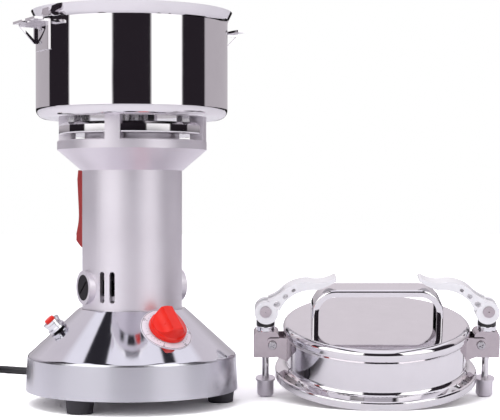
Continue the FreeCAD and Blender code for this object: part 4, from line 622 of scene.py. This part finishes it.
# Die-cast zinc under silver spray is a soft white. The spray's grain is drawn 0.6 mm wide,
# coarser than it is, so that it shows.
SPRAY_CLOUD, SPRAY_GRAIN = 0.008, 0.0006
die_cast, tree, where = new_finish("silver-sprayed die-cast zinc")
cloud = add_node(tree, "ShaderNodeTexNoise",
                 {"Vector": where, "Scale": 1 / SPRAY_CLOUD, "Detail": 4.0})
grain = add_node(tree, "ShaderNodeTexNoise",
                 {"Vector": where, "Scale": 1 / SPRAY_GRAIN, "Detail": 2.0})
tone = add_node(tree, "ShaderNodeMixRGB", {"Fac": cloud.outputs["Fac"], "Color1": linear("#efeef1"),
                                           "Color2": linear("#f8f8fa")})
rough = add_node(tree, "ShaderNodeMapRange", {"Value": cloud.outputs["Fac"],
                                              "To Min": 0.20, "To Max": 0.30})
bump = add_node(tree, "ShaderNodeBump", {"Height": grain.outputs["Fac"], "Strength": 0.15,
                                         "Distance": 0.00006})
surface(tree, {"Base Color": tone.outputs["Color"], "Metallic": 0.35,
               "Roughness": rough.outputs["Result"], "Normal": bump.outputs["Normal"]})
dress(die_cast, "cam_lever_left", "cam_lever_right")

# Under each lever a chrome-plated washer carries a black saddle for the cam. Both are one node,
# so the finish changes at the height where the saddle starts, square to the leaning rod. The
# lid's own heights start at lid_top, the middle of its top.
SADDLE_START = -0.0028
LID_LEAN = math.radians(13.3)
lid_top = MILL_AXIS + Vector((0.2091, 0.0204, 0.066893))
washer_metal, tree, where = new_finish("chrome washer and black saddle")
axes = add_node(tree, "ShaderNodeMapping", {"Vector": where, "Location": lid_top,
                                            "Rotation": (LID_LEAN, 0, 0)}, vector_type="TEXTURE")
height = add_node(tree, "ShaderNodeSeparateXYZ", {"Vector": axes.outputs["Vector"]})
black = add_node(tree, "ShaderNodeMath", {0: height.outputs["Z"], 1: SADDLE_START},
                 operation="GREATER_THAN")
tone = add_node(tree, "ShaderNodeMixRGB", {"Fac": black.outputs["Value"],
                                           "Color1": linear("#e4e3e7"),
                                           "Color2": linear("#211e21")})
metal = add_node(tree, "ShaderNodeMath", {0: 1.0, 1: black.outputs["Value"]}, operation="SUBTRACT")
rough = add_node(tree, "ShaderNodeMapRange", {"Value": black.outputs["Value"],
                                              "To Min": 0.08, "To Max": 0.35})
surface(tree, {"Base Color": tone.outputs["Color"], "Metallic": metal.outputs["Value"],
               "Roughness": rough.outputs["Result"]})

# A pan-head screw with a cross recess holds each clamp in its clevis. It is modelled again
# from the frame's plain screw, at the same place, because the recess shows from the front,
# where it stands half a radian off upright.
on_lid = Matrix.Translation(lid_top) @ Matrix.Rotation(LID_LEAN, 4, "X")
spots = [on_lid.inverted() @ v.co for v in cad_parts["pivot_screws"].data.vertices]
left_end, right_end = min(v.x for v in spots), max(v.x for v in spots)
front_end, back_end = min(v.y for v in spots), max(v.y for v in spots)
middle_height = (min(v.z for v in spots) + max(v.z for v in spots)) / 2
head_radius = (max(v.z for v in spots) - min(v.z for v in spots)) / 2
HEAD_DEPTH, HEAD_EDGE = 0.002, 0.0009
RECESS_LENGTH, RECESS_WIDTH, RECESS_DEPTH = 0.0042, 0.0009, 0.0012
SHANK_RADIUS, SHANK_EDGE = 0.002, 0.0004
RECESS_TURN = 0.5
clear_selection()
bpy.ops.mesh.primitive_cylinder_add(vertices=48, radius=head_radius, depth=HEAD_DEPTH)
screw = bpy.context.object
edge = screw.modifiers.new("edge", "BEVEL")
edge.width, edge.segments = HEAD_EDGE, 4
bpy.ops.object.modifier_apply(modifier="edge")
for turn in (0, math.pi / 2):
    clear_selection()
    bpy.ops.mesh.primitive_cube_add(size=1)
    slit = bpy.context.object
    slit.data.transform(Matrix.Translation((0, 0, HEAD_DEPTH / 2)) @ Matrix.Rotation(turn, 4, "Z")
                        @ Matrix.Diagonal((RECESS_LENGTH, RECESS_WIDTH, 2 * RECESS_DEPTH, 1)))
    clear_selection()
    screw.select_set(True)
    bpy.context.view_layer.objects.active = screw
    recess = screw.modifiers.new("recess", "BOOLEAN")
    recess.object = slit
    bpy.ops.object.modifier_apply(modifier="recess")
    bpy.data.objects.remove(slit)
clear_selection()
shank_length = back_end - front_end - HEAD_DEPTH
bpy.ops.mesh.primitive_cylinder_add(vertices=32, radius=SHANK_RADIUS, depth=shank_length,
                                    location=(0, 0, -(HEAD_DEPTH + shank_length) / 2))
shank = bpy.context.object
tip = shank.modifiers.new("tip", "BEVEL")
tip.width, tip.segments = SHANK_EDGE, 2
bpy.ops.object.modifier_apply(modifier="tip")
screw = join([screw, set_down(shank)])
bpy.ops.object.shade_smooth_by_angle(angle=math.radians(35))

screws = []
facing_front = Matrix.Rotation(math.pi / 2, 4, "X") @ Matrix.Rotation(RECESS_TURN, 4, "Z")
for across in (left_end + head_radius, right_end - head_radius):
    head_middle = Matrix.Translation((across, front_end + HEAD_DEPTH / 2, middle_height))
    screws.append(copy_at(screw, on_lid @ head_middle @ facing_front))
bpy.data.objects.remove(screw)
cross_screws = join(screws)
cross_screws.name = cross_screws.data.name = "cross_recess_screws"
cross_screws.data.materials.clear()
cross_screws.data.materials.append(turned_steel)
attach(cross_screws, "lid")
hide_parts("pivot_screws")

# Nickel plate on the clevises, blocks and pins is warmer and darker than the polished steel.
NICKEL_CLOUD = 0.006
nickel, tree, where = new_finish("warm nickel plate")
haze = add_node(tree, "ShaderNodeTexNoise",
                {"Vector": where, "Scale": 1 / NICKEL_CLOUD, "Detail": 4.0})
tone = add_node(tree, "ShaderNodeMixRGB", {"Fac": haze.outputs["Fac"], "Color1": linear("#b0a6ab"),
                                           "Color2": linear("#bfb6ba")})
rough = add_node(tree, "ShaderNodeMapRange", {"Value": haze.outputs["Fac"],
                                              "To Min": 0.12, "To Max": 0.2})
bump = add_node(tree, "ShaderNodeBump", {"Height": haze.outputs["Fac"], "Strength": 0.08,
                                         "Distance": 0.0001})
surface(tree, {"Base Color": tone.outputs["Color"], "Metallic": 1.0,
               "Roughness": rough.outputs["Result"], "Normal": bump.outputs["Normal"]})
dress(nickel, "clamp_clevises")

for side in ("left", "right"):
    dress(polished, f"clamp_rod_{side}")
    dress(nickel, f"clamp_block_{side}", f"cam_pin_{side}")
    dress(washer_metal, f"clamp_washers_{side}")
    dress(cast, f"thumb_nut_{side}")


# The studio: a floor of matt white paper, soft boxes at both sides with dark gaps between
# them, which the polished steel shows as its tall bands, and a soft lamp above. Only the
# camera sees the paper and the room as plain white.
FLOOR_RADIUS = 6
SEEN_PAPER = (1.6, 1.6, 1.6, 1)
clear_selection()
bpy.ops.mesh.primitive_circle_add(vertices=96, radius=FLOOR_RADIUS, fill_type="NGON",
                                  location=(0, 0, 0))
floor = bpy.context.object
floor.name = "floor"
paper, tree, where = new_finish("matt white paper")
ray = add_node(tree, "ShaderNodeLightPath").outputs["Is Camera Ray"]
tone = add_node(tree, "ShaderNodeMixRGB", {"Fac": ray, "Color1": linear("#f4f3f7"),
                                           "Color2": SEEN_PAPER})
matt = add_node(tree, "ShaderNodeBsdfDiffuse", {"Color": tone.outputs["Color"]})
add_node(tree, "ShaderNodeOutputMaterial", {"Surface": matt.outputs["BSDF"]})
floor.data.materials.append(paper)


def set_stops(ramp, stops):
    """Gives a colour ramp its stops, each a place from 0 to 1 and a colour."""
    while len(ramp.elements) < len(stops):
        ramp.elements.new(1.0)
    for element, (place, colour) in zip(ramp.elements, stops):
        element.position = place
        element.color = colour


studio = bpy.data.worlds.new("studio")
bpy.context.scene.world = studio
studio.use_nodes = True
tree = studio.node_tree
tree.nodes.clear()
axes = add_node(tree, "ShaderNodeSeparateXYZ",
                {"Vector": add_node(tree, "ShaderNodeTexCoord").outputs["Generated"]})

# Around the object: each band starts at its bearing in degrees, counted from the front to the
# right, and has its colour up to the next one.
BOX, DARK, WALL = (1.5, 1.5, 1.5, 1), (0.024, 0.019, 0.025, 1), (0.56, 0.525, 0.56, 1)
BANDS = [(-180, WALL), (-110.6, DARK), (-74.6, BOX), (-18.5, DARK), (26.9, BOX), (65.8, DARK),
         (101, WALL)]
BAND_EDGE = 0.6
front = add_node(tree, "ShaderNodeMath", {0: axes.outputs["Y"], 1: -1.0}, operation="MULTIPLY")
bearing = add_node(tree, "ShaderNodeMath", {0: axes.outputs["X"], 1: front.outputs["Value"]},
                   operation="ARCTAN2")
share = add_node(tree, "ShaderNodeMath", {0: bearing.outputs["Value"], 1: 0.5 / math.pi, 2: 0.5},
                 operation="MULTIPLY_ADD")
walls = add_node(tree, "ShaderNodeValToRGB", {"Fac": share.outputs["Value"]})
stops = [(-180, WALL)]
for (begin, colour), (_, last_colour) in zip(BANDS[1:], BANDS):
    stops += [(begin - BAND_EDGE, last_colour), (begin + BAND_EDGE, colour)]
set_stops(walls.color_ramp, [(degrees / 360 + 0.5, colour) for degrees, colour in stops])

# The walls get brighter upwards, and below the boxes' lower edge they are dark to the floor.
# A height here is the Z of a direction, from 0 for level to 1 for straight up.
BRIGHTER_FROM, BRIGHTEST_AT, BRIGHTEST = 0.2, 0.45, 1.45
EDGE_LOW, EDGE_HIGH, UNDER_EDGE = 0.045, 0.05, 0.03
higher = add_node(tree, "ShaderNodeMapRange",
                  {"Value": axes.outputs["Z"], "From Min": BRIGHTER_FROM,
                   "From Max": BRIGHTEST_AT, "To Min": 1.0, "To Max": BRIGHTEST})
upper_wall = add_node(tree, "ShaderNodeMixRGB", {"Fac": 1.0, "Color1": walls.outputs["Color"],
                                                 "Color2": higher.outputs["Result"]},
                      blend_type="MULTIPLY")
above_edge = add_node(tree, "ShaderNodeMapRange",
                      {"Value": axes.outputs["Z"], "From Min": EDGE_LOW,
                       "From Max": EDGE_HIGH, "To Min": UNDER_EDGE, "To Max": 1.0})
whole_wall = add_node(tree, "ShaderNodeMixRGB", {"Fac": 1.0, "Color1": upper_wall.outputs["Color"],
                                                 "Color2": above_edge.outputs["Result"]},
                      blend_type="MULTIPLY")

# Overhead: pale panels with dark gaps, placed by the sideways lean of the direction. The walls
# give way to them between two heights.
WALLS_END, CEILING_STARTS = 0.72, 0.78
PANEL, GAP = (1.08, 1.06, 1.14, 1), (0.03, 0.028, 0.035, 1)
CEILING = [(-1, PANEL), (-0.52, PANEL), (-0.50, GAP), (-0.27, GAP), (-0.25, PANEL),
           (0.30, PANEL), (0.32, GAP), (0.42, GAP), (0.44, PANEL)]
ceiling_share = add_node(tree, "ShaderNodeMath", {0: axes.outputs["X"], 1: axes.outputs["Z"]},
                         operation="DIVIDE")
ceiling_place = add_node(tree, "ShaderNodeMath",
                         {0: ceiling_share.outputs["Value"], 1: 0.5, 2: 0.5},
                         operation="MULTIPLY_ADD")
panels = add_node(tree, "ShaderNodeValToRGB", {"Fac": ceiling_place.outputs["Value"]})
set_stops(panels.color_ramp, [(lean / 2 + 0.5, colour) for lean, colour in CEILING])
upward = add_node(tree, "ShaderNodeMapRange", {"Value": axes.outputs["Z"],
                                               "From Min": WALLS_END,
                                               "From Max": CEILING_STARTS})
room = add_node(tree, "ShaderNodeMixRGB", {"Fac": upward.outputs["Result"],
                                           "Color1": whole_wall.outputs["Color"],
                                           "Color2": panels.outputs["Color"]})
ray = add_node(tree, "ShaderNodeLightPath").outputs["Is Camera Ray"]
shown = add_node(tree, "ShaderNodeMixRGB", {"Fac": ray, "Color1": room.outputs["Color"],
                                            "Color2": linear("#ffffff")})
sky = add_node(tree, "ShaderNodeBackground", {"Color": shown.outputs["Color"], "Strength": 1.0})
add_node(tree, "ShaderNodeOutputWorld", {"Surface": sky.outputs["Background"]})

LAMP_PLACE, LAMP_AIM = Vector((-0.5, -0.5, 1.5)), Vector((0, 0, 0.1))
lamp = bpy.data.lights.new("soft_lamp", "AREA")
lamp.shape = "RECTANGLE"
lamp.size, lamp.size_y = 1.2, 0.8
lamp.energy = 9
soft_lamp = bpy.data.objects.new("soft_lamp", lamp)
bpy.context.scene.collection.objects.link(soft_lamp)
soft_lamp.location = LAMP_PLACE
soft_lamp.rotation_euler = (LAMP_AIM - LAMP_PLACE).to_track_quat("-Z", "Y").to_euler()
soft_lamp.visible_glossy = False

# The camera stands 1.22 m in front of the mill, at half its height, as the photo's did. Its
# focal length was fitted in pixels of the photo.
SENSOR_WIDTH, PHOTO_WIDTH, FOCAL_LENGTH = 36, 500, 1441
EYE, DOWNWARD_TILT = Vector((0.10005, -1.224, 0.1713)), math.radians(0.38)
view = bpy.data.cameras.new("camera")
view.sensor_width = SENSOR_WIDTH
view.lens = SENSOR_WIDTH * FOCAL_LENGTH / PHOTO_WIDTH
camera = bpy.data.objects.new("camera", view)
bpy.context.scene.collection.objects.link(camera)
camera.location = MILL_AXIS + EYE
camera.rotation_euler = (math.pi / 2 - DOWNWARD_TILT, 0, 0)
bpy.context.scene.camera = camera
bpy.context.scene.view_settings.view_transform = "Standard"
